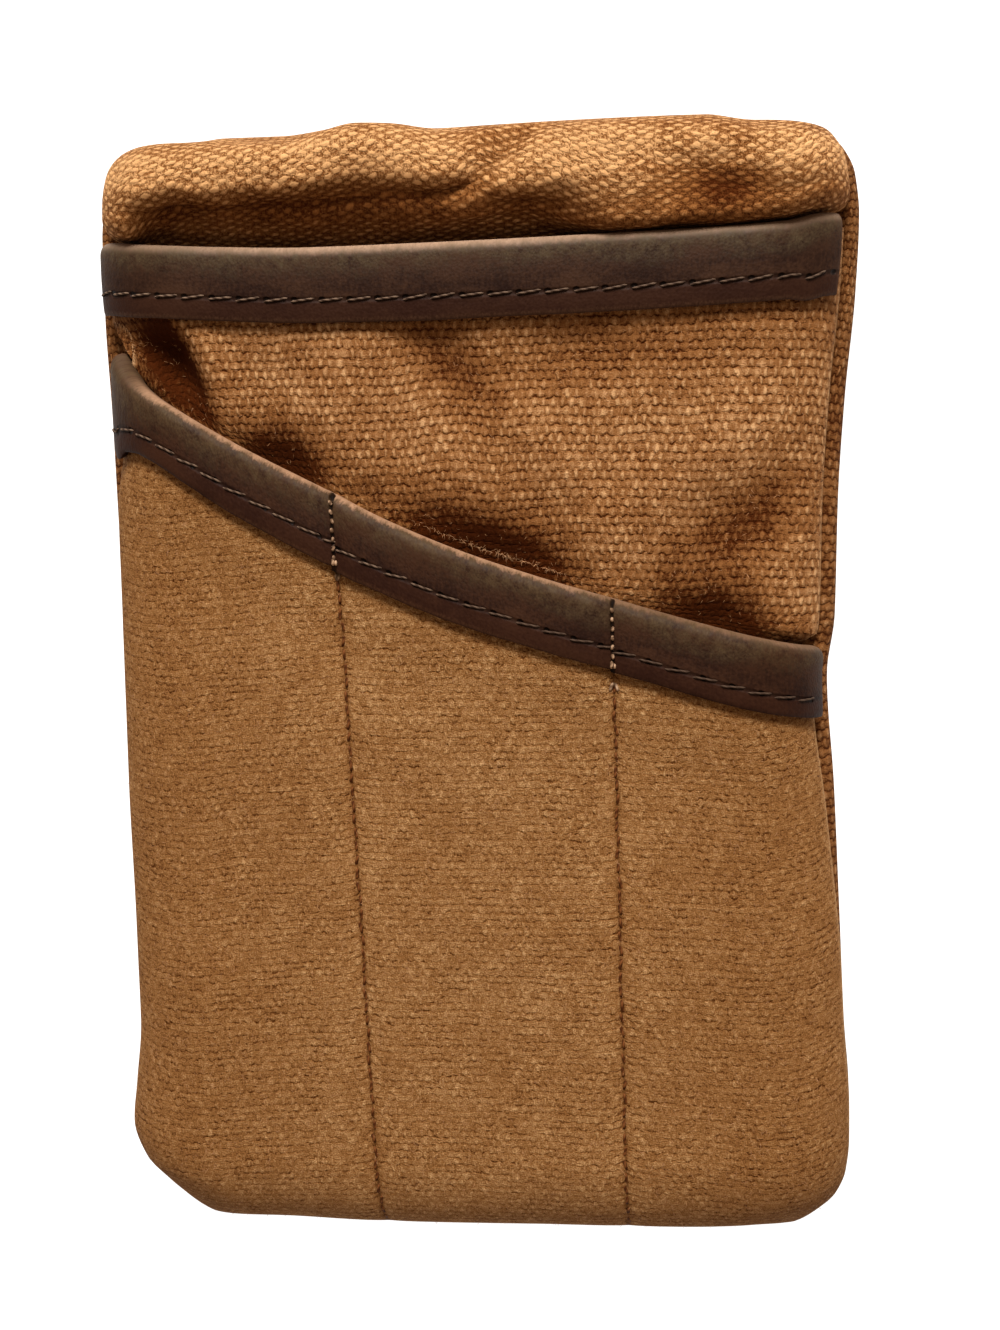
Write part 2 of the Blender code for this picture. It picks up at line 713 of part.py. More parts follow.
def zip_piece(*made_with):
    """The closed zip as one plain piece."""
    along = np.linspace(0, 1, TAPE_STEPS)[None, :]
    turn = np.array([TAPE_TOP, *TAPE_TURNS, TAPE_FOOT])[:, None]
    points = stack(*zip_at(along + 0 * turn, turn + 0 * along))
    return make_sheet("zip", points, grid_faces(*points.shape[:2]), TAPE, *made_with)


def main():
    for found in list(bpy.data.objects):
        bpy.data.objects.remove(found, do_unlink=True)
    collection = bpy.data.collections.new("zip_pouch")
    bpy.context.scene.collection.children.link(collection)
    pouch = bpy.data.objects.new("pouch", None)
    collection.objects.link(pouch)

    canvas = make_material("canvas", CANVAS_COLOUR, 0.9)
    leather = make_material("leather", LEATHER_COLOUR, 0.5)
    tape = make_material("zip_tape", TAPE_COLOUR, 0.8)
    back_panel(canvas, pouch, collection)
    front_panel(canvas, pouch, collection)
    pocket("upper_pocket", upper_pocket_at, upper_lines, UPPER_ROWS, canvas, pouch, collection)
    pocket("lower_pocket", lower_pocket_at, lower_lines, LOWER_ROWS, canvas, pouch, collection)
    binding("upper_binding", upper_pocket_at, UPPER_MOUTH, leather, pouch, collection)
    binding("lower_binding", lower_pocket_at, LOWER_MOUTH, leather, pouch, collection)
    zip_piece(tape, pouch, collection)


main()
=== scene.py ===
"""Dresses the zip pouch: waxed canvas walls with their folds, weave and nap, leather
bindings with worn folded edges, stitches, the closed zip, loose fibres, floor and light.

X runs across the pouch, Y from its bottom seam to the zipped end and Z up. The tables are
in millimetres and the meshes in metres."""

import math

import bmesh
import bpy
import numpy as np
from mathutils import Matrix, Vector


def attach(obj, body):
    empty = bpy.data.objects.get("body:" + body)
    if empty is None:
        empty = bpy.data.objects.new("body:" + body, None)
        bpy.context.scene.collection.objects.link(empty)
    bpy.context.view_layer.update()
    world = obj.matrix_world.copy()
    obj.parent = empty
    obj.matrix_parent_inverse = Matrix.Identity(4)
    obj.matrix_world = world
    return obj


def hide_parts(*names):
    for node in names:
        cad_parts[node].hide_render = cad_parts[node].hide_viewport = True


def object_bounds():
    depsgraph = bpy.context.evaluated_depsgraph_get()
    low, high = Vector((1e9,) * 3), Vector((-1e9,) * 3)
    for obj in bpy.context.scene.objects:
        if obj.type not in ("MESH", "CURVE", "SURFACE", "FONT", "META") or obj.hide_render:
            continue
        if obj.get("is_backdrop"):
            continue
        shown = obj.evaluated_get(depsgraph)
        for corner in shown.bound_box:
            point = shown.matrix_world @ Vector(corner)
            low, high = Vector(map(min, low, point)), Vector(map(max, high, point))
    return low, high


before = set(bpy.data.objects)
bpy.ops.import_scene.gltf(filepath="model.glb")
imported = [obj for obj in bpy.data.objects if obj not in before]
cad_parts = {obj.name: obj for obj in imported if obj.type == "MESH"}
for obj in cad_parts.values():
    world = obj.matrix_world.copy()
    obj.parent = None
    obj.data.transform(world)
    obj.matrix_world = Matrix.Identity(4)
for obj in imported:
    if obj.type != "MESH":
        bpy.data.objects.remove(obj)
CAD_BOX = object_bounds()

MM = 0.001
CANVAS = 1.1
LEATHER = 1.1
GAP = 0.3
LAYER_GAP = 0.35
IN_LEATHER = CANVAS / 2 + GAP + LEATHER / 2
ON_LEATHER = CANVAS / 2 + GAP + LEATHER

# Outline, layers and mouths of the pouch
HALF_WIDTH = 52.8
HALF_LENGTH = 77.0
OUTLINE = [
    # y, left edge, right edge
    (-77, -39.5, 38.5),
    (-76.2, -41.9, 42.6),
    (-74.6, -43.9, 45.9),
    (-72.2, -46.3, 48.8),
    (-69.6, -48.8, 51.1),
    (-66.6, -51.4, 52.2),
    (-62, -52.8, 52.6),
    (-56, -52.1, 52.5),
    (-46, -51.1, 51.7),
    (-30, -51.2, 50.9),
    (-12, -51.5, 50),
    (4, -51.5, 48.9),
    (12, -51.5, 49.9),
    (28, -51.8, 50.2),
    (42, -52.1, 51),
    (56, -52.6, 52.3),
    (66, -52.6, 52.7),
    (71.5, -51.9, 52.1),
    (74.5, -50.7, 50.7),
    (76.4, -48, 48.6),
    (77.4, -42.5, 44.5),
]
FOOT_EDGE = [
    # x, y of the bottom seam
    (-40, -77.4),
    (-29, -76.8),
    (-14, -77.1),
    (10, -76.7),
    (28, -76.4),
    (40, -75.8),
]
SEAM_HEIGHT = [
    # y, height of the side seam
    (-77, 4.9),
    (-68, 5.4),
    (-54, 6.5),
    (-36, 7.05),
    (77, 7.05),
]
SIDE_SECTION = [
    # inset from the outline, share of the seam height
    (9.5, 0),
    (4.6, 0),
    (2.5, 0.09),
    (1, 0.28),
    (0.2, 0.50),
    (0, 0.70),
    (0.4, 0.88),
    (1.4, 0.98),
    (3, 1),
    (9.6, 1),
]

TRAY_FOOT = -76.6
INNER_RINGS = 25

# Zipped end
END_RADIUS = 9.9
END_HEIGHT = 10.45
END_REACH = 77.2
# degrees below level of the gap's lower rim, in the middle and where it is shut, x where it
# starts to close and is shut, and x where the round end passes over to the seam margin
SLOT_BOTTOM = 47.0
SLOT_CLOSED = 20.0
SLOT_OPEN_TO = 32.0
SLOT_SHUT_AT = 38.0
MARGIN_FROM = 42.5
MARGIN_TO = 48.0

# Front wall and the puckered roll
FRONT_PATH = [
    # share of the path, y, height, follows the mouth, follows the end
    (0.00, -73.2, 6, 0, 0),
    (0.05, -66, 7, 0, 0),
    (0.12, -52, 7.7, 0, 0),
    (0.22, -26, 7.9, 0, 0),
    (0.32, 6, 7.9, 0, 0),
    (0.42, 36, 7.8, 0, 0),
    (0.48, 52, 7.6, 0.5, 0),
    (0.53, 60, 7.9, 1, 0),
    (0.58, 63.6, 9.8, 1, 0),
    (0.63, 64.5, 12.8, 1, 0),
    (0.68, 65, 15.8, 1, 0),
    (0.74, 66.8, 18.3, 0.8, 0.2),
    (0.80, 69.6, 19.3, 0.4, 0.6),
    (0.86, 72.8, 18.6, 0.2, 0.8),
    (0.92, 75.6, 15.9, 0, 1),
    (0.97, 76.9, 12.6, 0, 0.6),
    (1.00, 77.2, 9.95, 0, 0.3),
]
FLAT_PART_TO = 61.0
ROLL_STARTS = 0.59
ROLL_FULL = 0.72
ROLL_SHOULDER = 8.5
ROLL_EDGE_GAP = 0.55
ROLL_END = [
    # x, how far the far edge reaches past its middle line
    (-52, -0.6),
    (-44, -0.5),
    (-36, -0.6),
    (-24, -0.7),
    (-19, 0.1),
    (-14, 1.1),
    (-10, 0.9),
    (-3, -0.4),
    (3, -0.2),
    (14, 0.1),
    (24, 0.2),
    (32, 0.1),
    (38, -0.7),
    (44, -0.9),
    (52, -1.4),
]
SWELL = [
    # share of the path, y and height added where the roll rests on the leather
    (0.53, 0, 0),
    (0.58, -0.8, 0),
    (0.63, -1.5, 0.6),
    (0.68, -1.9, 1.3),
    (0.74, -0.6, 0.1),
    (0.80, 0, -0.1),
    (0.86, 0, 0),
]
# x where the swell starts and is full, to the right and to the left
SWELL_RIGHT = (9.0, 20.0)
SWELL_LEFT = (-41.5, -46.0)
# x, y, turn, half length, half width and darkness of the painted shade over the dent in the roll at the
# right
PAINTED_DENT_SHADE = (35.0, 67.0, 30.0, 5.5, 3.2, 0.45)
PUCKER_PATH = 60.0
PUCKERS = [
    # x, place on the path, half width, half height, lean, how deep it is pressed in
    (-38, 0.70, 5.5, 0.085, 0.2, 2.4),
    (-29, 0.69, 5.5, 0.070, 0, 0.8),
    (-22.5, 0.73, 9.5, 0.090, 0, 2.5),
    (-24, 0.86, 5.5, 0.06, -0.6, -0.6),
    (-12, 0.87, 7, 0.07, 0.3, -0.6),
    (-14, 0.69, 5.5, 0.075, 0, 1),
    (-7, 0.74, 8.5, 0.085, 0.2, 2.4),
    (3.5, 0.82, 3.6, 0.09, 0.9, 1.9),
    (9, 0.70, 6.5, 0.07, 0.2, 1.8),
    (18, 0.82, 8, 0.10, -0.2, -0.8),
    (32, 0.77, 7.5, 0.065, -0.4, 1.7),
    (43, 0.84, 5, 0.10, 0, -0.6),
]

# Slip pocket over the whole front
UPPER_MOUTH = [
    # x, y of the leather's upper edge, width of the leather, stitches above its lower edge
    (-52, 65.2, 9.4, 2.6),
    (-48, 64.1, 9.3, 2.6),
    (-42, 63, 9.2, 2.6),
    (-34, 62.4, 9.3, 2.6),
    (-20, 61.9, 9.5, 2.6),
    (-6, 62, 9.6, 2.6),
    (8, 62.2, 9.6, 2.6),
    (22, 62.5, 9.6, 2.6),
    (36, 62.9, 9.5, 2.6),
    (42, 63.4, 9.5, 2.6),
    (46, 64.5, 10.1, 2.6),
    (52, 65.4, 10.2, 2.6),
]
FOLDS_TO_MOUTH = (9.2, 13.2)
UPPER_MOUTH_HEIGHT = 14.9
UPPER_BODY_HEIGHT = 13.4
UPPER_FOOT = -72.6
FOLDS = [
    # x, y, turn, half length, half width, how far it stands out
    (-42, 47.2, -61, 8, 3.6, -2.4),
    (-38.8, 46.4, -68, 9, 2.4, -2.6),
    (-34.6, 48, -66, 8, 2.4, 0.9),
    (-26.5, 32.2, -32, 6.5, 6, -3.7),
    (-16.5, 41, 78, 9, 5, 0.5),
    (1.5, 19.6, -20, 10.5, 6.2, -3.7),
    (29, 33, 45, 17, 4.6, 0.9),
    (33, 10.2, -13, 7.5, 5.4, -3.7),
]
FOLD_CREST = [
    # y, x of the crest beside the valley at the left
    (39.9, -34.4),
    (42.3, -35.6),
    (44.8, -36.2),
    (47.5, -37),
    (50.2, -38.3),
    (52.5, -39.6),
    (54.2, -40.5),
]
FAINT_FOLDS = [
    # the same for the slip pocket's soft waves
    (-2, 46, -52, 13, 4, -1.1),
    (38.5, 25, 50, 9, 4.5, -1.5),
    (14, 47, 8, 12, 4.5, -0.8),
    (39, 35.5, 29, 13, 4.5, 0.8),
    (10, 36, -48, 9, 3, 0.6),
    (9.5, 19.3, -20, 8, 4, -1),
    (-12, 28.5, -26, 9, 3.2, -0.8),
    (30, 22, 50, 10, 3.5, -0.7),
]

# Pocket with the slanting mouth
LOWER_MOUTH = [
    # x, y of the leather's upper edge, width of the leather, stitches above its lower edge
    (-52, 56, 5.6, 1.5),
    (-49.5, 52.2, 6, 1.6),
    (-46.5, 46.6, 6.4, 1.8),
    (-44, 44, 6.7, 2),
    (-38, 40.2, 7.3, 2.2),
    (-30, 35.6, 8, 2.5),
    (-20, 30.5, 8.5, 2.6),
    (-10, 25.4, 8.7, 2.6),
    (0, 21.2, 8.8, 2.6),
    (10, 17.8, 8.8, 2.5),
    (20, 14.8, 8.8, 2.4),
    (30, 11.9, 9, 2.3),
    (40, 9.3, 9.3, 2.2),
    (52, 6.9, 9.5, 2.1),
]
LOWER_MOUTH_HEIGHT = 16.1
LOWER_BODY_HEIGHT = 14.9
SLOT_SEAMS = [
    # x at the bottom edge, x at the mouth
    (-13.7, -17.5),
    (21.2, 19.4),
]
SEAM_TOP = 20.0
SEAM_GROOVE = 0.45
SEAM_CREASE = 0.35

ROLL_INSET = (2.5, 2.2)
FRONT_INSET = (7.2, 7.8)
UPPER_INSET = (2.8, 2.9)
COVERED = (-1.8, 0.3)
UPPER_HIDDEN_INSET = (6.0, 6.4)
LOWER_INSET = [
    # y, left, right
    (-77, 1.2, 0.7),
    (-38, 1.5, 0.7),
    (-16, 1.5, 1.8),
    (-4, 1.5, 2.6),
    (10, 1.5, 2.8),
    (28, 1.8, 2.8),
    (36, 3.1, 2.8),
    (52, 3.6, 2.8),
]
SHOULDER = 13.0
FOOT_SHOULDER = 13.0
FOOT_INSET = 0.8
EDGE_TURNED_IN = 0.7

# Section of a binding, and its row of stitches
FOLD_SHARE = 0.057
BAND_SECTION = [
    # share of the band's width, offset as a share of its stand off
    (1.00, 0.78),
    (0.97, 0.88),
    (0.44, 1),
    (0.20, 1),
    (0.10, 0.80),
    (0.067, 0.45),
    (FOLD_SHARE, 0),
    (0.067, -0.45),
    (0.10, -0.80),
    (0.20, -1),
    (0.56, -1),
]
BAND_ROWS = 46
BAND_COLUMNS = 300
ROW_IN_FRONT = 18
# shares of the pocket's width where each band ends
UPPER_BAND_ENDS = (0.007, 0.984)
LOWER_BAND_ENDS = (0.007, 0.997)
# distance below the slanting mouth from which the canvas shows again
BELOW_BAND = 11.3
EDGE_UNDER_FOLD = 1.75
STITCH_PITCH = 3.75
STITCH_GAP = 0.42
HOLE_ASIDE = 0.055
THREAD = 0.31
TACK_PITCH = 1.22
TACK_THREAD_RADIUS = 0.23
SLOT_PITCH = 1.9
SLOT_THREAD_RADIUS = 0.24
SLOT_STITCHES_TO = -75.0
FAR_FROM_SEAM = 9.0
SEAM_KNOTS = [
    # each seam's last stitches below the leather: start, end, offset and spread
    [(-1.3, -2.2, -0.25, 0.1), (-1.2, -2, 0.15, -0.1)],
    [(-2.2, -3.2, -0.1, -0.5), (-2.2, -3.3, 0.1, 0.5)],
]

# Photograph's camera
LENS = 39.248
CAMERA_AT = (0.02479, 0.02485, 0.2087)
CAMERA_TURNS = (5.554, -5.991, 0.195)


# Shapes


def read(table, column, at):
    """Smooth curve through a column of a table, with the first column as the place. It
    is level at each high or low row, so it never swings past the rows."""
    rows = np.array(table, float)
    place, value = rows[:, 0], rows[:, column]
    secant = np.diff(value) / np.diff(place)
    before, after = secant[:-1], secant[1:]
    level = before * after <= 0
    middle = np.where(level, 0, 2 * before * after / np.where(level, 1, before + after))
    slope = np.concatenate([secant[:1], middle, secant[-1:]])
    at = np.clip(at, place[0], place[-1])
    row = np.clip(np.searchsorted(place, at) - 1, 0, len(place) - 2)
    step = place[row + 1] - place[row]
    t = (at - place[row]) / step
    return (
        (1 + 2 * t) * (1 - t) ** 2 * value[row]
        + t * (1 - t) ** 2 * step * slope[row]
        + t * t * (3 - 2 * t) * value[row + 1]
        - t * t * (1 - t) * step * slope[row + 1]
    )


def ease(low, high, at):
    """Rises softly from 0 at low to 1 at high."""
    t = np.clip((at - low) / (high - low), 0, 1)
    return t * t * (3 - 2 * t)


def shoulder(distance, radius):
    """Quarter ellipse: 0 and upright at the edge, 1 and level a radius further in."""
    t = 1 - np.clip(distance / radius, 0, 1)
    return np.sqrt(1 - t * t)


def spaced(start, end, spacing):
    """Places from start to end whose distances follow the spacing, a function of place."""
    fine = np.linspace(start, end, 4001)
    steps = np.concatenate([[0], np.cumsum((fine[1] - fine[0]) / spacing((fine[1:] + fine[:-1]) / 2))])
    return np.interp(np.linspace(0, steps[-1], int(steps[-1]) + 2), steps, fine)


def waves(x, y, pitch, seed):
    """Soft uneven relief between about -1 and 1: random heights on a square lattice of
    that pitch, joined smoothly, with a finer layer at half the pitch and half the height."""
    total = np.zeros(np.broadcast(x, y).shape)
    for octave in range(2):
        size = pitch / 2**octave
        heights = np.random.default_rng(seed + octave).uniform(-1, 1, (256, 256))
        a, b = x / size + 128, y / size + 128
        i, j = np.floor(a).astype(int), np.floor(b).astype(int)
        s, t = ease(0, 1, a - i), ease(0, 1, b - j)
        i, j = i % 255, j % 255
        low = heights[i, j] * (1 - s) + heights[i + 1, j] * s
        high = heights[i, j + 1] * (1 - s) + heights[i + 1, j + 1] * s
        total = total + (low * (1 - t) + high * t) / 2**octave
    return total


def bump(x, y, row):
    """Long soft fold: a bell curve with its own turn, length, width and height."""
    at_x, at_y, turn, half_length, half_width, rise = row
    c, s = math.cos(math.radians(turn)), math.sin(math.radians(turn))
    along = (x - at_x) * c + (y - at_y) * s
    aside = (y - at_y) * c - (x - at_x) * s
    return rise * np.exp(-((along / half_length) ** 2) - (aside / half_width) ** 2)


def folded(x, y):
    """How far the slip pocket's folds stand out in all."""
    return sum(bump(x, y, row) for row in FOLDS + FAINT_FOLDS)


def edges_at(y, inset):
    """x of a layer's left and right edges."""
    return read(OUTLINE, 1, y) + inset[0], read(OUTLINE, 2, y) - inset[1]


def inside(x, edges):
    """Distance from the nearer side edge."""
    left, right = edges
    return np.minimum(x - left, right - x)


def foot_edge(x):
    """y of the front layers' bottom edge."""
    return read(FOOT_EDGE, 1, x) + FOOT_INSET


def slant(table, x):
    """Length along the pocket for each unit square to the mouth."""
    return np.hypot(1, read(table, 1, x + 0.5) - read(table, 1, x - 0.5))


def seam_x(seam, y):
    """x of a slot seam at a height y."""
    foot, mouth = SLOT_SEAMS[seam]
    return foot + (mouth - foot) * (y + HALF_LENGTH) / (SEAM_TOP + HALF_LENGTH)


def groove(x, y, half_width):
    """1 on the two slot seams, falling off softly to both sides."""
    near = [np.exp(-(((x - seam_x(seam, y)) / half_width) ** 2)) for seam in (0, 1)]
    return np.maximum(*near)


def lower_edges(x, y):
    """x of the lower pocket's edges."""
    return edges_at(y, (read(LOWER_INSET, 1, y), read(LOWER_INSET, 2, y)))


def lower_height(x, y):
    """Height of the lower pocket's middle surface: a level top with quarter ellipses down
    to the side and bottom seams, pressed in along the slot seams, with a faint sag."""
    distance = inside(x, lower_edges(x, y))
    edge = read(SEAM_HEIGHT, 1, y) + LAYER_GAP
    below = read(LOWER_MOUTH, 1, x) - y
    top = LOWER_MOUTH_HEIGHT + (LOWER_BODY_HEIGHT - LOWER_MOUTH_HEIGHT) * ease(6, 22, below)
    top = top + 0.22 * waves(x, y, 21, 11) * ease(12, 26, below) + 0.05 * waves(x, y, 3.1, 17)
    sides, foot = shoulder(distance, SHOULDER), shoulder(y - foot_edge(x), FOOT_SHOULDER)
    z = edge + (top - edge) * sides * foot
    return z - (SEAM_GROOVE * groove(x, y, 2.4) + SEAM_CREASE * groove(x, y, 0.7)) * foot


def front_flat(y):
    """Height of the front wall's middle surface below the roll."""
    return read([(row[1], row[2]) for row in FRONT_PATH if row[1] < FLAT_PART_TO], 1, y)


def upper_edges(x, y):
    """x of the slip pocket's edges, which lie further in where the lower pocket covers them."""
    covered = ease(*COVERED, read(LOWER_MOUTH, 1, x) - y)
    insets = zip(UPPER_INSET, UPPER_HIDDEN_INSET)
    return edges_at(y, [seen + (hidden - seen) * covered for seen, hidden in insets])


def upper_height(x, y):
    """Height of the slip pocket's middle surface: puffed between the bindings with its
    folds, and flat under the lower pocket apart from a ridge up to each slot seam."""
    distance = inside(x, upper_edges(x, y))
    above_slant = y - read(LOWER_MOUTH, 1, x)
    below_mouth = read(UPPER_MOUTH, 1, x) - y
    puff = UPPER_MOUTH_HEIGHT + (UPPER_BODY_HEIGHT - UPPER_MOUTH_HEIGHT) * ease(4, 18, below_mouth)
    folds = folded(x, y) + 0.32 * waves(x, y, 9, 23) + 0.05 * waves(x, y, 2.9, 29)
    folds = folds * ease(-7, -2, above_slant) * ease(*FOLDS_TO_MOUTH, below_mouth)
    tucked = front_flat(y) + CANVAS + LAYER_GAP
    open_top = np.maximum(tucked + (puff - tucked) * ease(-7, 0, above_slant) + folds, tucked + GAP)
    edge = read(SEAM_HEIGHT, 1, y) + LAYER_GAP
    seen = edge + (open_top - edge) * shoulder(distance, SHOULDER)
    seen = np.maximum(seen, edge + (tucked - edge) * shoulder(distance, 1.5))
    ridge = (LOWER_BODY_HEIGHT - SEAM_GROOVE - SEAM_CREASE - CANVAS - GAP - tucked) * groove(x, y, 3.6)
    foot = shoulder(y - foot_edge(x), FOOT_SHOULDER) * ease(UPPER_FOOT, UPPER_FOOT + 16, y)
    hidden = tucked + ridge * foot
    return hidden + (seen - hidden) * ease(-8, -1, above_slant)


def pucker(x, t, row):
    """How far one pucker presses the roll in, at a place along the front wall's path."""
    at_x, at_t, half_width, half_height, lean, depth = row
    aside = x - at_x - lean * (t - at_t) * PUCKER_PATH
    return depth * np.exp(-((aside / half_width) ** 2) - ((t - at_t) / half_height) ** 2)


def front_at(u, t):
    """Middle surface of the front wall: each share t of the path gives y and height, each
    share u a place between the edges, and the puckers press along the path's own normal."""
    z = read(FRONT_PATH, 2, t)
    rolled = ease(ROLL_STARTS, ROLL_FULL, t)
    inset = [flat + (roll - flat) * rolled for flat, roll in zip(FRONT_INSET, ROLL_INSET)]
    x = -HALF_WIDTH + 2 * HALF_WIDTH * u
    for _ in range(3):
        mouth = read(UPPER_MOUTH, 1, x) - read(UPPER_MOUTH, 1, 0.0)
        y = read(FRONT_PATH, 1, t) + read(FRONT_PATH, 3, t) * mouth
        y = y + read(FRONT_PATH, 4, t) * read(ROLL_END, 1, x)
        swell = np.maximum(ease(*SWELL_RIGHT, x), ease(*SWELL_LEFT, x))
        y = y + swell * read(SWELL, 1, t)
        left, right = edges_at(y, inset)
        x = left + (right - left) * u
    distance = inside(x, (left, right))
    z = z + swell * read(SWELL, 2, t)
    shut = ease(SLOT_OPEN_TO, SLOT_SHUT_AT, np.abs(x)) * ease(0.93, 1.0, t)
    shut_turn = math.radians(SLOT_CLOSED) - (GAP + LAYER_GAP) / END_RADIUS
    z = z + (END_HEIGHT - END_RADIUS * math.sin(shut_turn) - z) * shut
    under = np.clip(END_HEIGHT - z, 0, None) * (t > 0.9)
    y = y - (END_RADIUS - np.sqrt(END_RADIUS**2 - under**2))
    run = read(FRONT_PATH, 1, t + 0.004) - read(FRONT_PATH, 1, t - 0.004)
    rise = read(FRONT_PATH, 2, t + 0.004) - read(FRONT_PATH, 2, t - 0.004)
    length = np.hypot(run, rise)
    pressed = sum(pucker(x, t, row) for row in PUCKERS)
    across = t * PUCKER_PATH * 2
    pressed = pressed + 0.28 * waves(x, across, 7, 31) + 0.06 * waves(x, across, 2.6, 37)
    pressed = pressed * ease(2, 12, distance) * (1 - ease(0.89, 0.95, t)) * ease(0.58, 0.64, t)
    y, z = y + pressed * rise / length, z - pressed * run / length
    flat_edge = read(SEAM_HEIGHT, 1, y) + GAP + CANVAS / 2
    edge = flat_edge + (read(SEAM_HEIGHT, 1, y) + ROLL_EDGE_GAP - flat_edge) * rolled
    z = np.where(rolled > 0, edge + (z - edge) * shoulder(distance, ROLL_SHOULDER), z)
    return x, y, z


def by_share(table):
    """A table with the share of its own length put before each row."""
    return [(number / (len(table) - 1), *row) for number, row in enumerate(table)]


def back_at(x, y, section):
    """Middle surface of the back tray over a point of the outline: the section carries it
    from the flat back round the side to the seam margin, and at the zipped end round a
    circle up to the lower edge of the zip."""
    inset = read(by_share(SIDE_SECTION), 1, section) + CANVAS / 2
    seam = read(SEAM_HEIGHT, 1, y) - CANVAS / 2
    height = CANVAS / 2 + read(by_share(SIDE_SECTION), 2, section) * (seam - CANVAS / 2)
    rim = SLOT_BOTTOM + (SLOT_CLOSED - SLOT_BOTTOM) * ease(SLOT_OPEN_TO, SLOT_SHUT_AT, np.abs(x))
    turn = np.radians(90 + (rim - 90) * section)
    end_inset, end_height = END_RADIUS * (1 - np.cos(turn)), END_HEIGHT - END_RADIUS * np.sin(turn)
    at_end = (1 - ease(MARGIN_FROM, MARGIN_TO, np.abs(x))) * (y > END_REACH - END_RADIUS)
    inset = inset + (end_inset - inset) * at_end
    height = height + (end_height - height) * at_end
    return x * (1 - inset * (1 - at_end) / HALF_WIDTH), y * (1 - inset / HALF_LENGTH), height


def unit(vectors):
    """Vectors of length 1 in the same directions."""
    return vectors / np.maximum(np.linalg.norm(vectors, axis=-1, keepdims=True), 1e-12)


def normals(points):
    """Unit normals of a grid of points: the cross product of its two directions."""
    return unit(np.cross(np.gradient(points, axis=1), np.gradient(points, axis=0)))


def lengths(points, axis):
    """Distance run along one direction of a grid of points, in their own unit."""
    steps = np.linalg.norm(np.diff(points, axis=axis), axis=-1)
    total = np.cumsum(steps, axis=axis)
    return np.concatenate([np.zeros_like(np.take(total, [0], axis)), total], axis)


# Meshes

CUTS = {}


def grid_faces(rows, columns, first=0, closed=False):
    """Four sided faces between neighbouring rows and columns of a grid of points."""
    row = np.arange(rows - 1)[:, None]
    column = np.arange(columns if closed else columns - 1)[None, :]
    beside = (column + 1) % columns
    corners = [row * columns + column, row * columns + beside]
    corners += [(row + 1) * columns + beside, (row + 1) * columns + column]
    return first + np.stack(np.broadcast_arrays(*corners), -1).reshape(-1, 4)


def put_together(name, points, faces, uv, material, sharp=38, marks=None):
    """A mesh object from points in millimetres, four sided faces, a UV in centimetres for
    each point and named values for each point."""
    mesh = bpy.data.meshes.new(name)
    mesh.vertices.add(len(points))
    mesh.vertices.foreach_set("co", (points * MM).astype(np.float32).ravel())
    mesh.loops.add(faces.size)
    mesh.loops.foreach_set("vertex_index", faces.astype(np.int32).ravel())
    mesh.polygons.add(len(faces))
    mesh.polygons.foreach_set("loop_start", np.arange(0, faces.size, faces.shape[1], dtype=np.int32))
    mesh.update(calc_edges=True)
    layer = mesh.uv_layers.new(name="cloth")
    layer.data.foreach_set("uv", uv[faces.ravel()].astype(np.float32).ravel())
    for key, value in (marks or {}).items():
        mark = mesh.attributes.new(key, "FLOAT", "POINT")
        mark.data.foreach_set("value", value.astype(np.float32).ravel())
    mesh.validate()
    mesh.shade_smooth()
    mesh.set_sharp_from_angle(angle=math.radians(sharp))
    mesh.materials.append(material)
    piece = bpy.data.objects.new(name, mesh)
    bpy.context.scene.collection.objects.link(piece)
    return piece


def wall(name, points, uv, thickness, material, marks=None, closed=False):
    """Closed wall round a middle surface: its grid of points pushed half the thickness to
    both sides along the normals, joined by a rounded rim."""
    rows, columns = points.shape[:2]
    CUTS[name] = cut_size(points, uv, closed)
    normal = normals(points)
    if closed:
        wrapped = np.concatenate([points[:, -2:], points, points[:, :2]], 1)
        normal = normals(wrapped)[:, 2:-2]
    outer, inner = points + normal * thickness / 2, points - normal * thickness / 2
    here = np.arange(rows * columns).reshape(rows, columns)
    there = here + rows * columns
    faces = [grid_faces(rows, columns, 0, closed)]
    faces.append(grid_faces(rows, columns, rows * columns, closed)[:, ::-1])
    borders = [(here[0], there[0]), (there[-1], here[-1])]
    if not closed:
        borders += [(there[:, 0], here[:, 0]), (here[:, -1], there[:, -1])]
    for near, far in borders:
        if closed:
            near, far = np.append(near, near[0]), np.append(far, far[0])
        faces.append(np.stack([far[:-1], far[1:], near[1:], near[:-1]], -1))
    points = np.concatenate([outer.reshape(-1, 3), inner.reshape(-1, 3)])
    uv = np.concatenate([uv.reshape(-1, 2)] * 2)
    doubled = {key: np.concatenate([value.ravel()] * 2) for key, value in (marks or {}).items()}
    return put_together(name, points, np.concatenate(faces), uv, material, marks=doubled)


def reworked(piece, change):
    """Changes a piece's mesh and turns its faces outwards again."""
    mesh = bmesh.new()
    mesh.from_mesh(piece.data)
    change(mesh)
    bmesh.ops.recalc_face_normals(mesh, faces=mesh.faces)
    mesh.to_mesh(piece.data)
    mesh.free()
    return piece


def cut_size(middle, flat, closed):
    """Width, length and area in metres of the flat cut of a wall: the reach of its cloth
    coordinates both ways, and the sum of its middle surface's cells, each half the cross
    product of its diagonals."""
    if closed:
        middle = np.concatenate([middle, middle[:, :1]], 1)
    cells = np.cross(middle[1:, 1:] - middle[:-1, :-1], middle[1:, :-1] - middle[:-1, 1:])
    width, length = np.ptp(flat.reshape(-1, 2), axis=0) / 100
    return width, length, np.linalg.norm(cells, axis=-1).sum() / 2 * MM**2


def cloth_sheet(piece, held, rests_on, *with_pieces):
    """Reads the width, length and area of a wall's flat cut; nothing else is done with them."""
    width, length, area = CUTS[piece.name]


# Materials


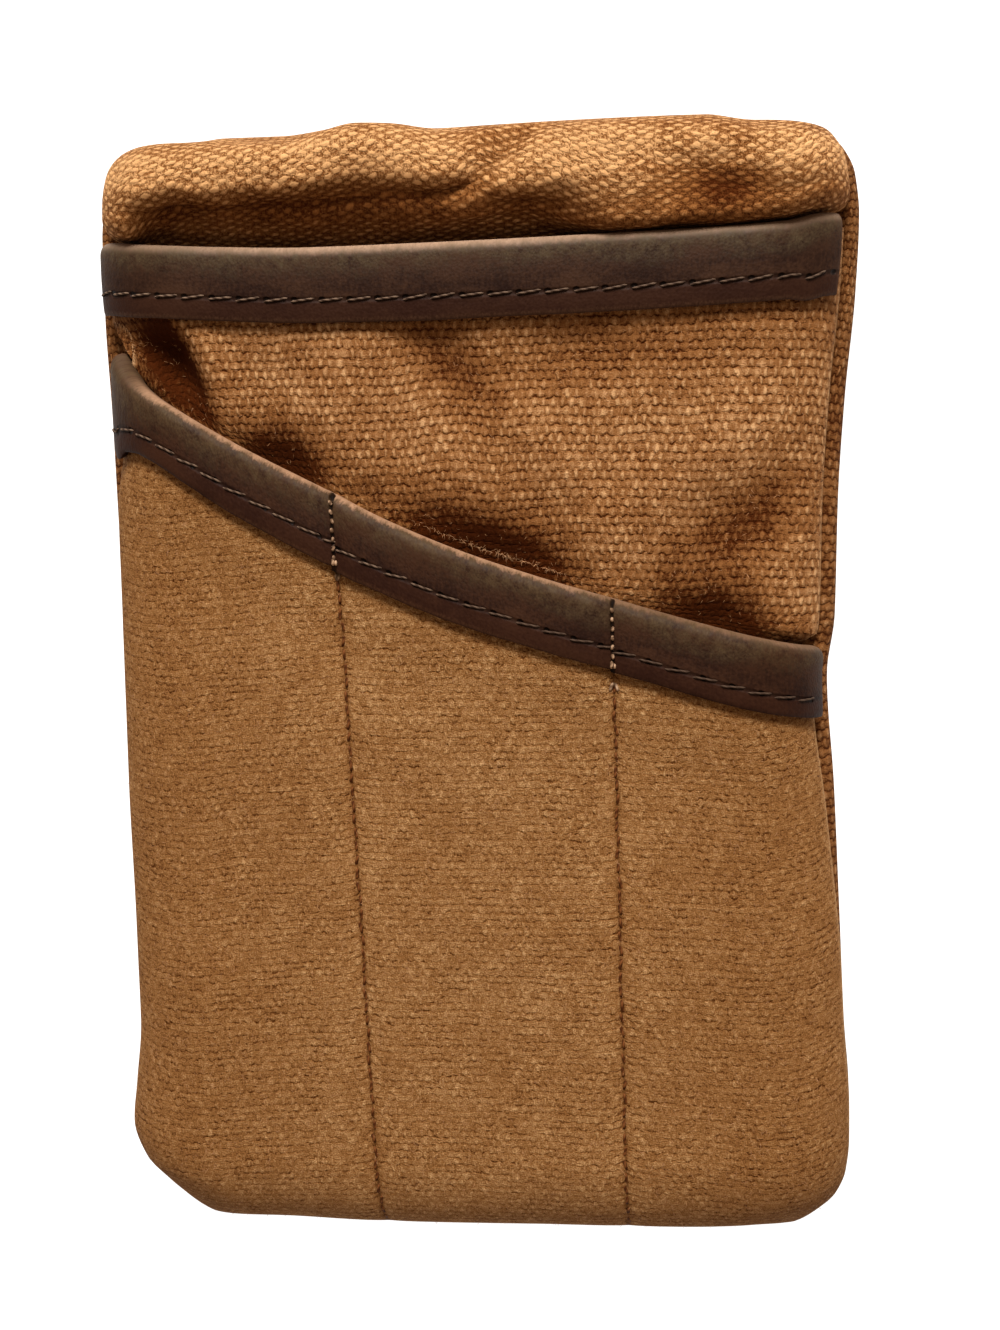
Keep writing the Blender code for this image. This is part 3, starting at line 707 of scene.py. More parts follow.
class Wire:
    """A value in a material. Sums, products and comparisons of wires add Math nodes."""

    def __init__(self, paint, socket):
        self.paint, self.socket = paint, socket

    def maths(self, operation, *values):
        return self.paint.node("ShaderNodeMath", {"operation": operation}, values)

    def __add__(self, other):
        return self.maths("ADD", self, other)

    def __sub__(self, other):
        return self.maths("SUBTRACT", self, other)

    def __rsub__(self, other):
        return self.maths("SUBTRACT", other, self)

    def __mul__(self, other):
        return self.maths("MULTIPLY", self, other)

    def __truediv__(self, other):
        return self.maths("DIVIDE", self, other)

    def __pow__(self, other):
        return self.maths("POWER", self, other)

    __radd__ = __add__
    __rmul__ = __mul__

    def floor(self):
        return self.maths("FLOOR", self)

    def sine(self):
        return self.maths("SINE", self)

    def cosine(self):
        return self.maths("COSINE", self)

    def size(self):
        return self.maths("ABSOLUTE", self)

    def at_least(self, low):
        return self.maths("MAXIMUM", self, low)

    def joined(self, other, softness):
        """The higher of two wires, with a soft passage between them."""
        return self.maths("SMOOTH_MAX", self, other, softness)

    def between(self, low, high):
        """Rises softly from 0 at low to 1 at high."""
        return self.paint.node(
            "ShaderNodeMapRange",
            {"interpolation_type": "SMOOTHSTEP"},
            {"Value": self, "From Min": low, "From Max": high},
        )


class Paint:
    """One material and the nodes that are added to it."""

    def __init__(self, name, **fixed):
        self.material = bpy.data.materials.new(name)
        self.material.use_nodes = True
        self.tree = self.material.node_tree
        self.shader = self.tree.nodes["Principled BSDF"]
        for socket, value in fixed.items():
            self.shader.inputs[socket.replace("_", " ")].default_value = value

    def connect(self, value, socket):
        if isinstance(value, Wire):
            self.tree.links.new(value.socket, socket)
        elif isinstance(value, tuple) and len(value) == 3 and socket.type == "RGBA":
            socket.default_value = (*value, 1)
        else:
            socket.default_value = value

    def node(self, kind, settings=None, inputs=(), output=0):
        """Adds a node, with its settings first and then its sockets' values or links."""
        node = self.tree.nodes.new(kind)
        for key, value in (settings or {}).items():
            setattr(node, key, value)
        pairs = inputs.items() if isinstance(inputs, dict) else enumerate(inputs)
        for key, value in pairs:
            self.connect(value, node.inputs[key])
        return Wire(self, node.outputs[output])

    def uv(self):
        """The cloth's own coordinates in millimetres, as two wires."""
        node = self.node("ShaderNodeUVMap", {"uv_map": "cloth"})
        split = self.tree.nodes.new("ShaderNodeSeparateXYZ")
        self.connect(node, split.inputs[0])
        return Wire(self, split.outputs[0]) * 10, Wire(self, split.outputs[1]) * 10

    def mark(self, name):
        """A value kept on the mesh."""
        return self.node("ShaderNodeAttribute", {"attribute_name": name}, (), "Fac")

    def point(self, x, y, z=0.0):
        return self.node("ShaderNodeCombineXYZ", None, (x, y, z))

    def noise(self, x, y, size, detail=2.0, rough=0.5, seed=0.0):
        """Soft noise from 0 to 1 whose patches are about size across."""
        place = self.point(x * (1 / size), y * (1 / size), seed)
        inputs = {"Vector": place, "Scale": 1.0, "Detail": detail, "Roughness": rough}
        return self.node("ShaderNodeTexNoise", None, inputs)

    def sway(self, *where, **how):
        """The same noise from -0.5 to 0.5."""
        return self.noise(*where, **how) - 0.5

    def speckle(self, x, y, seed=0.0):
        """A random value from 0 to 1 for each whole number place."""
        return self.node("ShaderNodeTexWhiteNoise", None, {"Vector": self.point(x, y, seed)})

    def blend(self, share, low, high, how="MIX"):
        """Colour between two colours."""
        node = self.tree.nodes.new("ShaderNodeMix")
        node.data_type, node.blend_type, node.clamp_factor = "RGBA", how, True
        for key, value in (("Factor_Float", share), ("A_Color", low), ("B_Color", high)):
            self.connect(value, next(s for s in node.inputs if s.identifier == key))
        return Wire(self, next(s for s in node.outputs if s.identifier == "Result_Color"))

    def finish(self, colour, roughness, height, depth):
        """Links the colour and roughness, and the height in millimetres as a bump."""
        self.connect(colour, self.shader.inputs["Base Color"])
        self.connect(roughness, self.shader.inputs["Roughness"])
        inputs = {"Height": height, "Strength": 1.0, "Distance": depth * MM}
        bumped = self.node("ShaderNodeBump", None, inputs)
        self.connect(bumped, self.shader.inputs["Normal"])
        return self.material


# Colours, linear
# CANVAS_DEEP is the dark, saturated colour that painted shade reaches in the thread gaps and hollows.
CANVAS_DEEP = (0.080, 0.021, 0.004)
CANVAS_MID = (0.285, 0.128, 0.045)
CANVAS_PALE = (0.650, 0.390, 0.200)
# The next colour is the pale rim of the side edges: partly wear, partly a painted highlight.
CANVAS_EDGE_WEAR_AND_HIGHLIGHT = (0.740, 0.460, 0.250)


def upright_knots(paint, u, v, seed, warp, weft, nap):
    """Level rows follow the weft's pitch, and their edges zigzag where upright warp
    threads pass over: each crossing is a small dome at every second thread, staggered
    from row to row, with the weft low between two domes. Nap mats the domes and leaves
    broken dark dashes between the rows. Gives the height and a random value for each dome."""
    drift = paint.sway(u, v, 12.0, 1.0, seed=seed + 3.0)
    sag = paint.sway(u, v * 0.6, 9.0, 1.0, seed=seed + 4.0)
    shake_a = paint.sway(u, v, 0.9, 2.0, seed=seed + 5.0)
    shake_b = paint.sway(u * 0.8, v, 0.8, 2.0, seed=seed + 9.0)
    a = u * (1 / warp) + drift * 1.6 + shake_a * (1.0 + nap)
    b = v * (1 / weft) + sag + shake_b * (0.5 + nap * 0.5)
    b = b + (a * math.pi).sine() * (b * math.pi).cosine() * 0.13
    j = b.floor()
    f = b - j - 0.5
    place = (a + j + 0.5) * 0.5
    k = place.floor()
    q = place - k - 0.5
    chance = paint.speckle(k, j, seed + 2.0)
    other = paint.speckle(k, j, seed + 7.0)
    fm = f + (chance - 0.5) * 0.14
    qm = q + (other - 0.5) * 0.14
    wide = 0.25 + chance * 0.10
    across = (1 - (qm / wide) * (qm / wide)).at_least(0.0)
    rise = (0.72 + 0.45 * other) * (1 - nap * 0.38)
    knot = across**0.6 * (fm * math.pi).cosine().at_least(0.0) ** 0.9 * rise
    bar = (1 - f * f * 4.6).at_least(0.0) ** 0.5 * (0.42 - nap * 0.1 + 0.16 * chance)
    height = knot.joined(bar, 0.08)
    if nap:
        broken = paint.noise(u * 0.75, v * 1.3, 0.7, 2.0, 0.7, seed=seed + 61.0)
        height = (height * (1 - nap * 0.25)).joined(broken.between(0.42, 0.62) * 0.50, 0.10)
        height = height - f.size().between(0.26, 0.46) * (1 - broken).between(0.46, 0.62) * 0.24
    return height, chance


def level_knots(paint, u, v, seed, column, row, nap):
    """The same cloth turned a quarter round: long level domes on two lattices, one set
    between the other, each dome with its own place, slant and size."""
    shake_a = paint.sway(u, v, 1.1, 3.0, 0.6, seed=seed + 5.0)
    shake_b = paint.sway(u, v, 0.9, 3.0, 0.6, seed=seed + 9.0)
    domes = []
    for half in (0.0, 0.5):
        a = u * (0.5 / column) + half + shake_a * 0.26
        b = v * (1 / row) + half + shake_b * 0.40
        i, k = (a + 0.5).floor(), (b + 0.5).floor()
        chance = paint.speckle(i, k, seed + 2.0 + half)
        other = paint.speckle(i, k, seed + 7.0 + half)
        aside = (a - i + (chance - 0.5) * 0.10) * (2 * column)
        up = (b - k + (other - 0.5) * 0.20) * row - aside * (chance * 0.36 - 0.12)
        long, tall = other * 0.14 + 0.56, chance * 0.06 + 0.31
        dome = (1 - (aside / long) * (aside / long) - (up / tall) * (up / tall)).at_least(0.0)
        domes.append(dome**0.5 * (0.74 + 0.42 * other))
    height = domes[0].joined(domes[1], 0.06)
    under = paint.noise(u, v, 0.42, 3.0, 0.7, seed=seed + 61.0).between(0.36, 0.62) * (0.30 + nap)
    return height.joined(under, 0.08), chance


def canvas(name, weave, pitch, nap=0.0, seed=0.0, tint=(1, 1, 1), fade=0.5, dim=0.33):
    """Waxed canvas: a weave of domes whose colour follows their height, as painted shade dark in the
    hollows between threads, with the crowns pale, partly from wear and partly as painted light. It has
    matted patches, streaks and fine fibres. The shading mark paints shade where it is above zero and light
    where it is below zero: it flattens the pattern by its fade and darkens it by its dim. The edge mark
    paints a pale rim, partly wear and partly a painted highlight."""
    paint = Paint(name, Specular_IOR_Level=0.05)
    u, v = paint.uv()
    height, chance = weave(paint, u, v, seed, *pitch, nap)
    fibre = paint.sway(u, v, 0.22, 3.0, 0.75, seed=seed + 33.0)
    streak = paint.sway(u * 0.45, v * 1.6, 0.8, 3.0, 0.65, seed=seed + 41.0)
    cloud = paint.noise(u, v, 4.5, 3.0, 0.6, seed=seed + 47.0)
    matted = cloud.between(0.62 - nap * 0.42, 0.86 - nap * 0.38)
    height = height * (1 - matted * (0.30 + nap * 0.2)) + matted * 0.14
    height = height + fibre * (1.0 + nap) + streak * (0.35 + nap * 0.6)

    worn = paint.sway(u, v, 10.0, 4.0, 0.55, seed=seed + 53.0)
    # The weave's height sets its colour: painted shade in the gaps between threads, with paler crowns that
    # are partly wear and partly painted light; chance, worn and fibre add the cloth's own tone.
    shade = height * (0.62 - nap * 0.08) + (chance - 0.5) * (0.16 - nap * 0.1)
    shade = shade + worn * (0.40 - nap * 0.35) + fibre * (0.34 + nap * 0.3)
    # The mark read here is painted shade where it is above zero and painted light where it is below zero.
    painted_shading = paint.mark("painted_shading")
    shade = shade * (1 - painted_shading * fade) + (0.16 + nap * 0.12) - painted_shading * dim
    colour = paint.blend(shade.between(-0.02, 0.40), CANVAS_DEEP, CANVAS_MID)
    colour = paint.blend(shade.between(0.34, 0.98), colour, CANVAS_PALE)
    # The edge mark paints a pale rim on the side edges: partly wear, partly a painted highlight.
    colour = paint.blend(paint.mark("edge") * (0.75 + fibre * 1.2), colour, CANVAS_EDGE_WEAR_AND_HIGHLIGHT)
    colour = paint.blend(1.0, colour, tint, "MULTIPLY")
    return paint.finish(colour, 0.78 + worn * 0.2, height, 0.55 - nap * 0.22)


LEATHER_DARK = (0.017, 0.006, 0.003)
LEATHER_MID = (0.044, 0.020, 0.010)
LEATHER_SCUFF = (0.090, 0.064, 0.034)
LEATHER_WORN = (0.400, 0.265, 0.180)
LEATHER_RAW = (0.080, 0.040, 0.022)
LEATHER_UNDER = (0.034, 0.011, 0.005)
# The next colour is painted shade for the stitch holes and grooves.
LEATHER_HOLE_SHADE = (0.006, 0.003, 0.002)


def band_leather(name, wear, tint=(1, 1, 1), under=0.75):
    """Oiled brown leather. Its second coordinate is the distance below the fold: the fold is rubbed pale
    where the worn mark is high, a scuffed strip follows, and below the stitches it is darker, with a raw
    cut edge. Each stitch hole, the groove along the stitch row and the tack seam's holes are darkened with
    painted shade."""
    paint = Paint(name, Specular_IOR_Level=0.14)
    u, v = paint.uv()
    row, seam, fall, end, worn = (paint.mark(key) for key in ("row", "seam", "fall", "end", "worn"))
    hairs = paint.sway(u, v, 0.28, 3.0, 0.75, seed=23.0)
    grain = paint.sway(u, v, 0.55, 4.0, 0.65, seed=3.0)
    spots = {"Vector": paint.point(u, v), "Scale": 2.4}
    pores = paint.node("ShaderNodeTexVoronoi", {"voronoi_dimensions": "2D"}, spots)
    cloud = paint.sway(u * 0.5, v, 4.5, 4.0, 0.6, seed=7.0)
    rub = paint.sway(u, v, 1.6, 4.0, 0.7, seed=11.0)
    streak = paint.sway(u * 3.0, v * 0.5, 1.0, 3.0, 0.6, seed=17.0)
    fold = 1 - (v + rub + hairs * 0.9).between(0.0, 1.5 - wear * 1.2)
    scuff = 1 - (v + cloud * 7.0 + streak * 3.0).between(0.6, 4.2)
    shade = cloud * 1.8 + grain * 1.2 + streak * 0.7 + 0.50
    colour = paint.blend(shade.between(0.1, 0.9), LEATHER_DARK, LEATHER_MID)
    colour = paint.blend(row.between(-0.4, 0.6) * under, colour, LEATHER_UNDER)
    colour = paint.blend(scuff * (0.40 + rub * 1.8 + hairs * 1.2), colour, LEATHER_SCUFF)
    colour = paint.blend(fold * (0.80 + hairs * 1.7) * worn, colour, LEATHER_WORN)
    raw = (row + hairs * 0.8).between(2.1, 2.5).at_least(1 - (end + hairs * 0.3).between(0.0, 0.5))
    colour = paint.blend(raw * (0.5 + hairs * 1.5), colour, LEATHER_RAW)
    step = u * (1 / STITCH_PITCH) + HOLE_ASIDE
    along = (step - (step + 0.5).floor()).size() * STITCH_PITCH
    pit = 1 - (along * along + row * row * 1.6).between(0.02, 0.30)
    line = 1 - row.size().between(0.05, 0.45)
    drop = fall * (1 / TACK_PITCH)
    drop = (drop - drop.floor() - 0.5) * TACK_PITCH
    sunk = 1 - (seam * seam + drop * drop * 0.5).between(0.04, 0.26)
    # Painted shade darkens the stitch holes, the groove along the stitch row and the tack seam's holes.
    pit_shade = (pit * 0.95).at_least(line * 0.35).at_least(sunk * 0.95)
    colour = paint.blend(pit_shade, colour, LEATHER_HOLE_SHADE)
    colour = paint.blend(1.0, colour, tint, "MULTIPLY")
    height = grain * 0.35 + pores * 0.25 + cloud * 0.3 - pit * 2.0 - line * 0.8 - sunk * 1.4
    return paint.finish(colour, 0.6 + grain * 0.3, height, 0.12)


def thread_paint(name, pale, dark):
    """Twisted sewing thread: pale and dark strands wind round it. Its tone mark says how
    pale the thread is there."""
    paint = Paint(name, Specular_IOR_Level=0.12)
    u, v = paint.uv()
    twist = (u * 5.5 + v * 2.0 * math.pi).sine() * 0.5 + 0.5
    fuzz = paint.noise(u, v, 0.3, 2.0, seed=5.0)
    colour = paint.blend((twist * 0.75 + fuzz * 0.5).between(0.2, 1.0) * paint.mark("tone"), dark, pale)
    return paint.finish(colour, 0.7, twist, 0.05)


def plain_paint(name, colour, roughness, metallic=0.0):
    """Even finish with a fine grain."""
    paint = Paint(name, Metallic=metallic)
    place = paint.node("ShaderNodeTexCoord", None, (), "Object")
    speck = paint.node("ShaderNodeTexNoise", None, {"Vector": place, "Scale": 1500.0, "Detail": 3.0})
    cloud = paint.node("ShaderNodeTexNoise", None, {"Vector": place, "Scale": 90.0, "Detail": 3.0})
    dark = tuple(channel * 0.7 for channel in colour)
    shaded = paint.blend((speck * 0.6 + cloud * 0.6).between(0.35, 0.85), dark, colour)
    return paint.finish(shaded, roughness + (speck - 0.5) * 0.15, speck, 0.04)


# Pieces


def dress(piece, slot, *nodes):
    """Rides on the pouch and stands for its nodes, whose parts it hides."""
    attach(piece, "root")
    if nodes:
        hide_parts(*nodes)
    return piece


def stack(x, y, z):
    """Points in millimetres from three arrays."""
    return np.stack(np.broadcast_arrays(x, y, z), -1)


def cloth_uv(points):
    """Cloth coordinates in centimetres: the lengths run along the grid's two directions,
    measured from the middle column and the first row."""
    across = lengths(points, 1)
    across = across - across[:, across.shape[1] // 2][:, None]
    return np.stack([across, lengths(points, 0) + points[:1, :, 1]], -1) / 10


def near_edges(low, high, fine, coarse):
    """Spacing that is fine at both ends of a span and coarse in its middle."""
    return lambda x: fine + (coarse - fine) * np.clip(np.minimum(x - low, high - x) / 9.0, 0, 1)


def lower_pocket():
    """Rows run level from the bottom edge to the cut edge in the binding, and columns
    crowd at the side edges and along the two slot seams."""

    def spacing(x):
        seams = np.minimum(np.abs(x - seam_x(0, -20)), np.abs(x - seam_x(1, -20)))
        return np.minimum(near_edges(-50, 50, 0.14, 0.85)(x), 0.22 + 0.25 * seams)

    share = (spaced(-50, 50, spacing) + 50) / 100
    seam_shares = [(seam_x(seam, -20) + 50) / 100 for seam in (0, 1)]
    rows = spaced(0, 1, lambda s: np.where(s < 0.12, 0.0016 + s * 0.04, 0.0066))[:, None]
    x = (-50 + 100 * share)[None, :]
    for _ in range(5):
        top = read(LOWER_MOUTH, 1, x) - EDGE_UNDER_FOLD * slant(LOWER_MOUTH, x)
        y = foot_edge(x) + (top - foot_edge(x)) * rows
        left, right = lower_edges(x, y)
        knots = [left, seam_x(0, y), seam_x(1, y), right]
        starts = [0, *seam_shares, 1]
        x = sum(
            np.where((share >= starts[k]) & ((share < starts[k + 1]) | (k == 2)), 1, 0)
            * (knots[k] + (knots[k + 1] - knots[k]) * (share - starts[k]) / (starts[k + 1] - starts[k]))
            for k in range(3)
        )
    points = stack(x, y, lower_height(x, y))
    points[..., 0] += EDGE_TURNED_IN * (1 - ease(0, 0.3, x - left))
    points[..., 0] -= EDGE_TURNED_IN * (1 - ease(0, 0.3, right - x))
    distance = inside(x, (left, right))
    side = np.maximum(ease(-0.1, 0.1, distance) - ease(0.1, 0.75, distance), 0) * ease(-75, -60, y)
    # Painted shade along the slot seams' grooves and towards both sides; the edge mark is a pale rim,
    # partly wear and partly a painted highlight.
    marks = {"edge": 0.5 * side, "painted_shading": 0.5 * groove(x, y, 0.45) + 0.16 * ease(15, 45, np.abs(x))}
    return wall("lower_pocket_cloth", points, cloth_uv(points), CANVAS, LOWER_CLOTH, marks)


def upper_pocket():
    """Rows run from the hidden bottom edge to the slanting mouth, coarse, and on to the cut edge in the
    upper binding, fine. Its mark paints shade in the folds' valleys and light on their ridges, more shade
    in the upper right corner, and deep shade in the valley left of the crest."""
    share = (spaced(-50, 50, near_edges(-50, 50, 0.16, 0.72)) + 50) / 100
    x = (-50 + 100 * share)[None, :]
    hidden = np.linspace(0, 1, 18)[:-1][:, None]
    seen = np.linspace(0, 1, 96)[:, None]
    for _ in range(5):
        slanting = read(LOWER_MOUTH, 1, x[-1:]) - 6.0
        top = read(UPPER_MOUTH, 1, x[-1:]) - EDGE_UNDER_FOLD * slant(UPPER_MOUTH, x[-1:])
        covered = UPPER_FOOT + (slanting - UPPER_FOOT) * hidden
        y = np.concatenate([covered, slanting + (top - slanting) * seen])
        left, right = upper_edges(x, y)
        x = left + (right - left) * share[None, :]
    points = stack(x, y, upper_height(x, y))
    uv = cloth_uv(points)
    uv[..., 1] += points[-1:, :, 1] / 10 - uv[-1:, :, 1]
    # Painted shading: shade in the folds' valleys and light on their ridges, more shade in the upper right
    # corner and in the valley left of the crest.
    painted_shading = np.clip(-folded(x, y) / 2.3, -0.8, 1)
    painted_shading = painted_shading + 0.22 * ease(12, 30, x) * ease(38, 50, y)
    into = read(FOLD_CREST, 1, y) - x
    corner = ease(-0.2, 0.5, into) * (0.35 + 0.65 * np.exp(-((into / 4.5) ** 2))) * ease(55.5, 53.0, y)
    painted_shading = np.maximum(painted_shading, 1.15 * corner * ease(35.0, 41.0, y))
    # Pale rim on the side edges, partly wear and partly a painted highlight, fainter on the right half.
    edge = (1 - ease(0.1, 0.6, inside(x, (left, right)))) * (1 - 0.6 * ease(0, 1, x))
    marks = {"painted_shading": painted_shading, "edge": edge}
    return wall("upper_pocket_cloth", points, uv, CANVAS, UPPER_CLOTH, marks)


def front_wall():
    """Rows follow the path of the front wall, fine on the roll. Its mark carries painted shading: shade in
    the puckers and over the dent, light on top of the roll, and shade again close above the binding, most
    of all at the right."""
    u = spaced(0, 1, lambda s: near_edges(0, 100, 0.2, 0.7)(s * 100) / 100)[None, :]
    t = spaced(0, 1, lambda s: 0.03 - 0.026 * ease(0.5, 0.6, s))[:, None]
    points = stack(*front_at(u + 0 * t, t + 0 * u))
    x, y = points[..., 0], points[..., 1]
    left = ease(22, 14, x)
    # Painted shade in the puckers, a little less at the left, and over the dent.
    painted_shading = np.clip(sum(pucker(x, t, row) for row in PUCKERS) / 2.6, -0.5, 1)
    painted_shading = painted_shading * (1.15 - 0.2 * left) + bump(x, y, PAINTED_DENT_SHADE)
    # lit is painted light on top of the roll, a little more at the left, fading down the far side.
    lit = 0.50 * ease(0.76, 0.82, t) + 0.16 * left * ease(0.71, 0.76, t) + 0.30
    painted_shading = painted_shading - lit * (1 - 0.8 * ease(0.84, 0.91, t))
    # Painted shade on the roll's underside close above the binding, most at the right and some near the
    # middle.
    painted_shading = painted_shading + 0.45 * ease(5, 20, x) * ease(0.78, 0.72, t)
    painted_shading = painted_shading + 0.14 * ease(0.75, 0.70, t) * ease(14, 6, x) * ease(-46, -41, x)
    return wall("front_wall_cloth", points, cloth_uv(points), CANVAS, ROLL_CLOTH, {"painted_shading": painted_shading})


def back_tray():
    """Rings of the outline from the middle of the flat back out to the side, round it and
    in to the seam margin. In the cloth's coordinates what turns up lies flat outside the
    outline, as far out along its normal as the wall runs."""

    def spacing(y):
        return 0.35 + 1.1 * ease(0, 14, np.minimum(y - TRAY_FOOT, END_REACH - y))

    sides = spaced(TRAY_FOOT, END_REACH, spacing)
    foot = np.linspace(read(OUTLINE, 1, -HALF_LENGTH), read(OUTLINE, 2, -HALF_LENGTH), 60)[1:-1]
    end = np.linspace(read(OUTLINE, 2, END_REACH), read(OUTLINE, 1, END_REACH), 72)[1:-1]
    x = np.concatenate([foot, read(OUTLINE, 2, sides), end, read(OUTLINE, 1, sides[::-1])])[None, :]
    far = np.full_like(end, END_REACH)
    y = np.concatenate([read(FOOT_EDGE, 1, foot), sides, far, sides[::-1]])[None, :]
    section = np.linspace(0, 1, 37)[:, None]
    ring = stack(*back_at(x + 0 * section, y + 0 * section, section))
    share = np.linspace(0.02, 1, INNER_RINGS + 1)[:-1][:, None]
    inner = stack(ring[:1, :, 0] * share, ring[:1, :, 1] * share, ring[:1, :, 2] + 0 * share)
    points = np.concatenate([inner, ring])[::-1]
    flat = points[..., :2].copy()
    from_middle = lengths(points[::-1], 0)
    run = from_middle[::-1] - from_middle[INNER_RINGS]
    tangent = unit(np.concatenate([np.roll(x, -1) - np.roll(x, 1), np.roll(y, -1) - np.roll(y, 1)]).T)
    outward = tangent[:, ::-1] * [1, -1]
    edge = flat[-INNER_RINGS - 1]
    slid = ((flat - edge) * tangent).sum(-1, keepdims=True)
    turned = edge + tangent * slid + outward * np.sqrt(np.clip(run[..., None] ** 2 - slid**2, 0, None))
    flat = np.where(run[..., None] > 0, turned, flat)
    # Painted shade on the upper part of the tray's side and its seam margin, where the crevice falls in
    # shade.
    rim = 0.4 * ease(0.35, 0.75, np.concatenate([0 * share, section])[::-1]) + 0 * points[..., 0]
    piece = wall("back_cloth", points, flat / 10, CANVAS, BACK_CLOTH, {"painted_shading": rim}, closed=True)
    return close_middle(piece, points.shape)


def close_middle(piece, shape):
    """Closes the small ring left in the middle of the flat back with two caps in place of
    its rim."""
    rows, columns = shape[:2]
    first, second = (rows - 1) * columns, rows * columns + (rows - 1) * columns
    rim = set(range(first, first + columns)) | set(range(second, second + columns))

    def cap(mesh):
        mesh.verts.ensure_lookup_table()
        gone = [face for face in mesh.faces if all(corner.index in rim for corner in face.verts)]
        bmesh.ops.delete(mesh, geom=gone, context="FACES_ONLY")
        for start in (first, second):
            ring = [mesh.verts[start + k] for k in range(columns)]
            edges = [mesh.edges.get((ring[k], ring[(k + 1) % columns])) for k in range(columns)]
            bmesh.ops.contextual_create(mesh, geom=edges)

    return reworked(piece, cap)


def binding_points(height, edges, mouth, share, offset, stand_off=IN_LEATHER):
    """Points on a binding: the share of its width below the fold, pushed off the pocket
    wall along the wall's own normal."""
    ends = LOWER_BAND_ENDS if mouth is LOWER_MOUTH else UPPER_BAND_ENDS
    left_right = np.linspace(*ends, share.shape[1])[None, :]
    x = -50 + 100 * left_right + 0 * share
    for _ in range(5):
        y = read(mouth, 1, x) - share * read(mouth, 2, x) * slant(mouth, x)
        left, right = edges(x, y)
        x = left + (right - left) * left_right
    step = 0.2
    here = stack(x, y, height(x, y))
    across = stack(2 * step, 0, height(x + step, y) - height(x - step, y))
    along = stack(0, 2 * step, height(x, y + step) - height(x, y - step))
    normal = unit(np.cross(across, along))
    return here + normal * offset[..., None] * stand_off, normal


def binding(place, height, edges, mouth, material):
    """Leather folded over a mouth: the section goes down the front, round the fold and up
    the inside. Its UV runs along the band and down from the fold."""
    at = np.linspace(0, 1, BAND_ROWS)[:, None]
    share = read(by_share(BAND_SECTION), 1, at) + np.zeros((1, BAND_COLUMNS))
    offset = read(by_share(BAND_SECTION), 2, at) + np.zeros((1, BAND_COLUMNS))
    points, _ = binding_points(height, edges, mouth, share, offset)
    x = points[..., 0]
    width = read(mouth, 2, x)
    along = lengths(points, 1)[ROW_IN_FRONT] + 0 * x
    below = (share - FOLD_SHARE) * width
    in_front = offset > 0.5
    row = np.where(in_front, share * width - (width - read(mouth, 3, x)), -FAR_FROM_SEAM)
    uv = np.stack([along, below], -1) / 10
    seam = FAR_FROM_SEAM + 0 * x
    worn = 1.0 - 0.45 * ease(10, 38, np.abs(x + 6))
    if mouth is LOWER_MOUTH:
        seam = np.minimum(*[np.abs(x - seam_x(number, points[..., 1])) for number in (0, 1)])
        seam = np.where(in_front, seam, FAR_FROM_SEAM)
        worn = 1.0 - 0.62 * ease(6, 26, x) - 0.9 * ease(-42, -47, x)
    worn = worn * (0.35 + 0.65 * ease(-0.6, 0.2, offset))
    end = np.minimum(along, along[:, -1:] - along)
    marks = {"row": row, "seam": seam, "fall": points[..., 1], "end": end, "worn": worn}
    marks = {key: mark[::-1] for key, mark in marks.items()}
    return wall(f"{place}_leather", points[::-1], uv[::-1], LEATHER, material, marks)


def arched(step):
    """Rises steeply from 0, runs level at 1 and falls back: the root of 1 less the fourth
    power of the distance from the middle."""
    return np.sqrt(np.clip(1 - (2 * step - 1) ** 4, 0, 1))


def on_line(at, run, line):
    """Places on a line of points, from their distances or heights along it."""
    return np.stack([np.interp(at, run, line[:, axis]) for axis in range(3)], -1)


def strand(path, radius, sides):
    """Closed tube round a path with tapered ends: a circle carried along it, square to it."""
    tangent = unit(np.gradient(path, axis=0))
    aside = unit(np.cross(tangent, [0.03, 0.05, 1.0]))
    up = np.cross(aside, tangent)
    turn = np.linspace(0, 2 * np.pi, sides, endpoint=False)[None, :, None]
    taper = np.ones(len(path))
    taper[[0, -1]] = 0.45
    around = aside[:, None] * np.cos(turn) + up[:, None] * np.sin(turn)
    ring = path[:, None] + around * radius * taper[:, None, None]
    along = np.concatenate([[0], np.cumsum(np.linalg.norm(np.diff(path, axis=0), axis=1))])
    uv = np.stack([along[:, None] + 0 * turn[..., 0], turn[..., 0] / (2 * np.pi) + 0 * along[:, None]], -1)
    return ring.reshape(-1, 3), uv.reshape(-1, 2)


def tube_faces(count, sides, first):
    """Faces of a tube and of the two ends that close it, all four sided."""
    faces = [grid_faces(count, sides, first, True)[:, ::-1]]
    for start, turn in ((first, 1), (first + (count - 1) * sides, -1)):
        cap = [[0, k, k + 1, min(k + 2, sides - 1)] for k in range(1, sides - 2, 2)]
        faces.append(start + np.array(cap)[:, ::turn])
    return np.concatenate(faces)


def thread_row(name, paths, radius, material, sides=6, tones=None):
    """Many short closed tubes in one mesh, one for each stitch, each with its own tone."""
    points, uvs, faces, first = [], [], [], 0
    tone = np.repeat(np.ones(len(paths)) if tones is None else tones, [len(path) * sides for path in paths])
    for number, path in enumerate(paths):
        ring, uv = strand(path, radius, sides)
        points.append(ring)
        uvs.append(uv + [number * 0.37, 0])
        faces.append(tube_faces(len(path), sides, first))
        first += len(ring)
    points, faces, uvs = np.concatenate(points), np.concatenate(faces), np.concatenate(uvs) / 10
    return put_together(name, points, faces, uvs, material, 80, {"tone": tone})


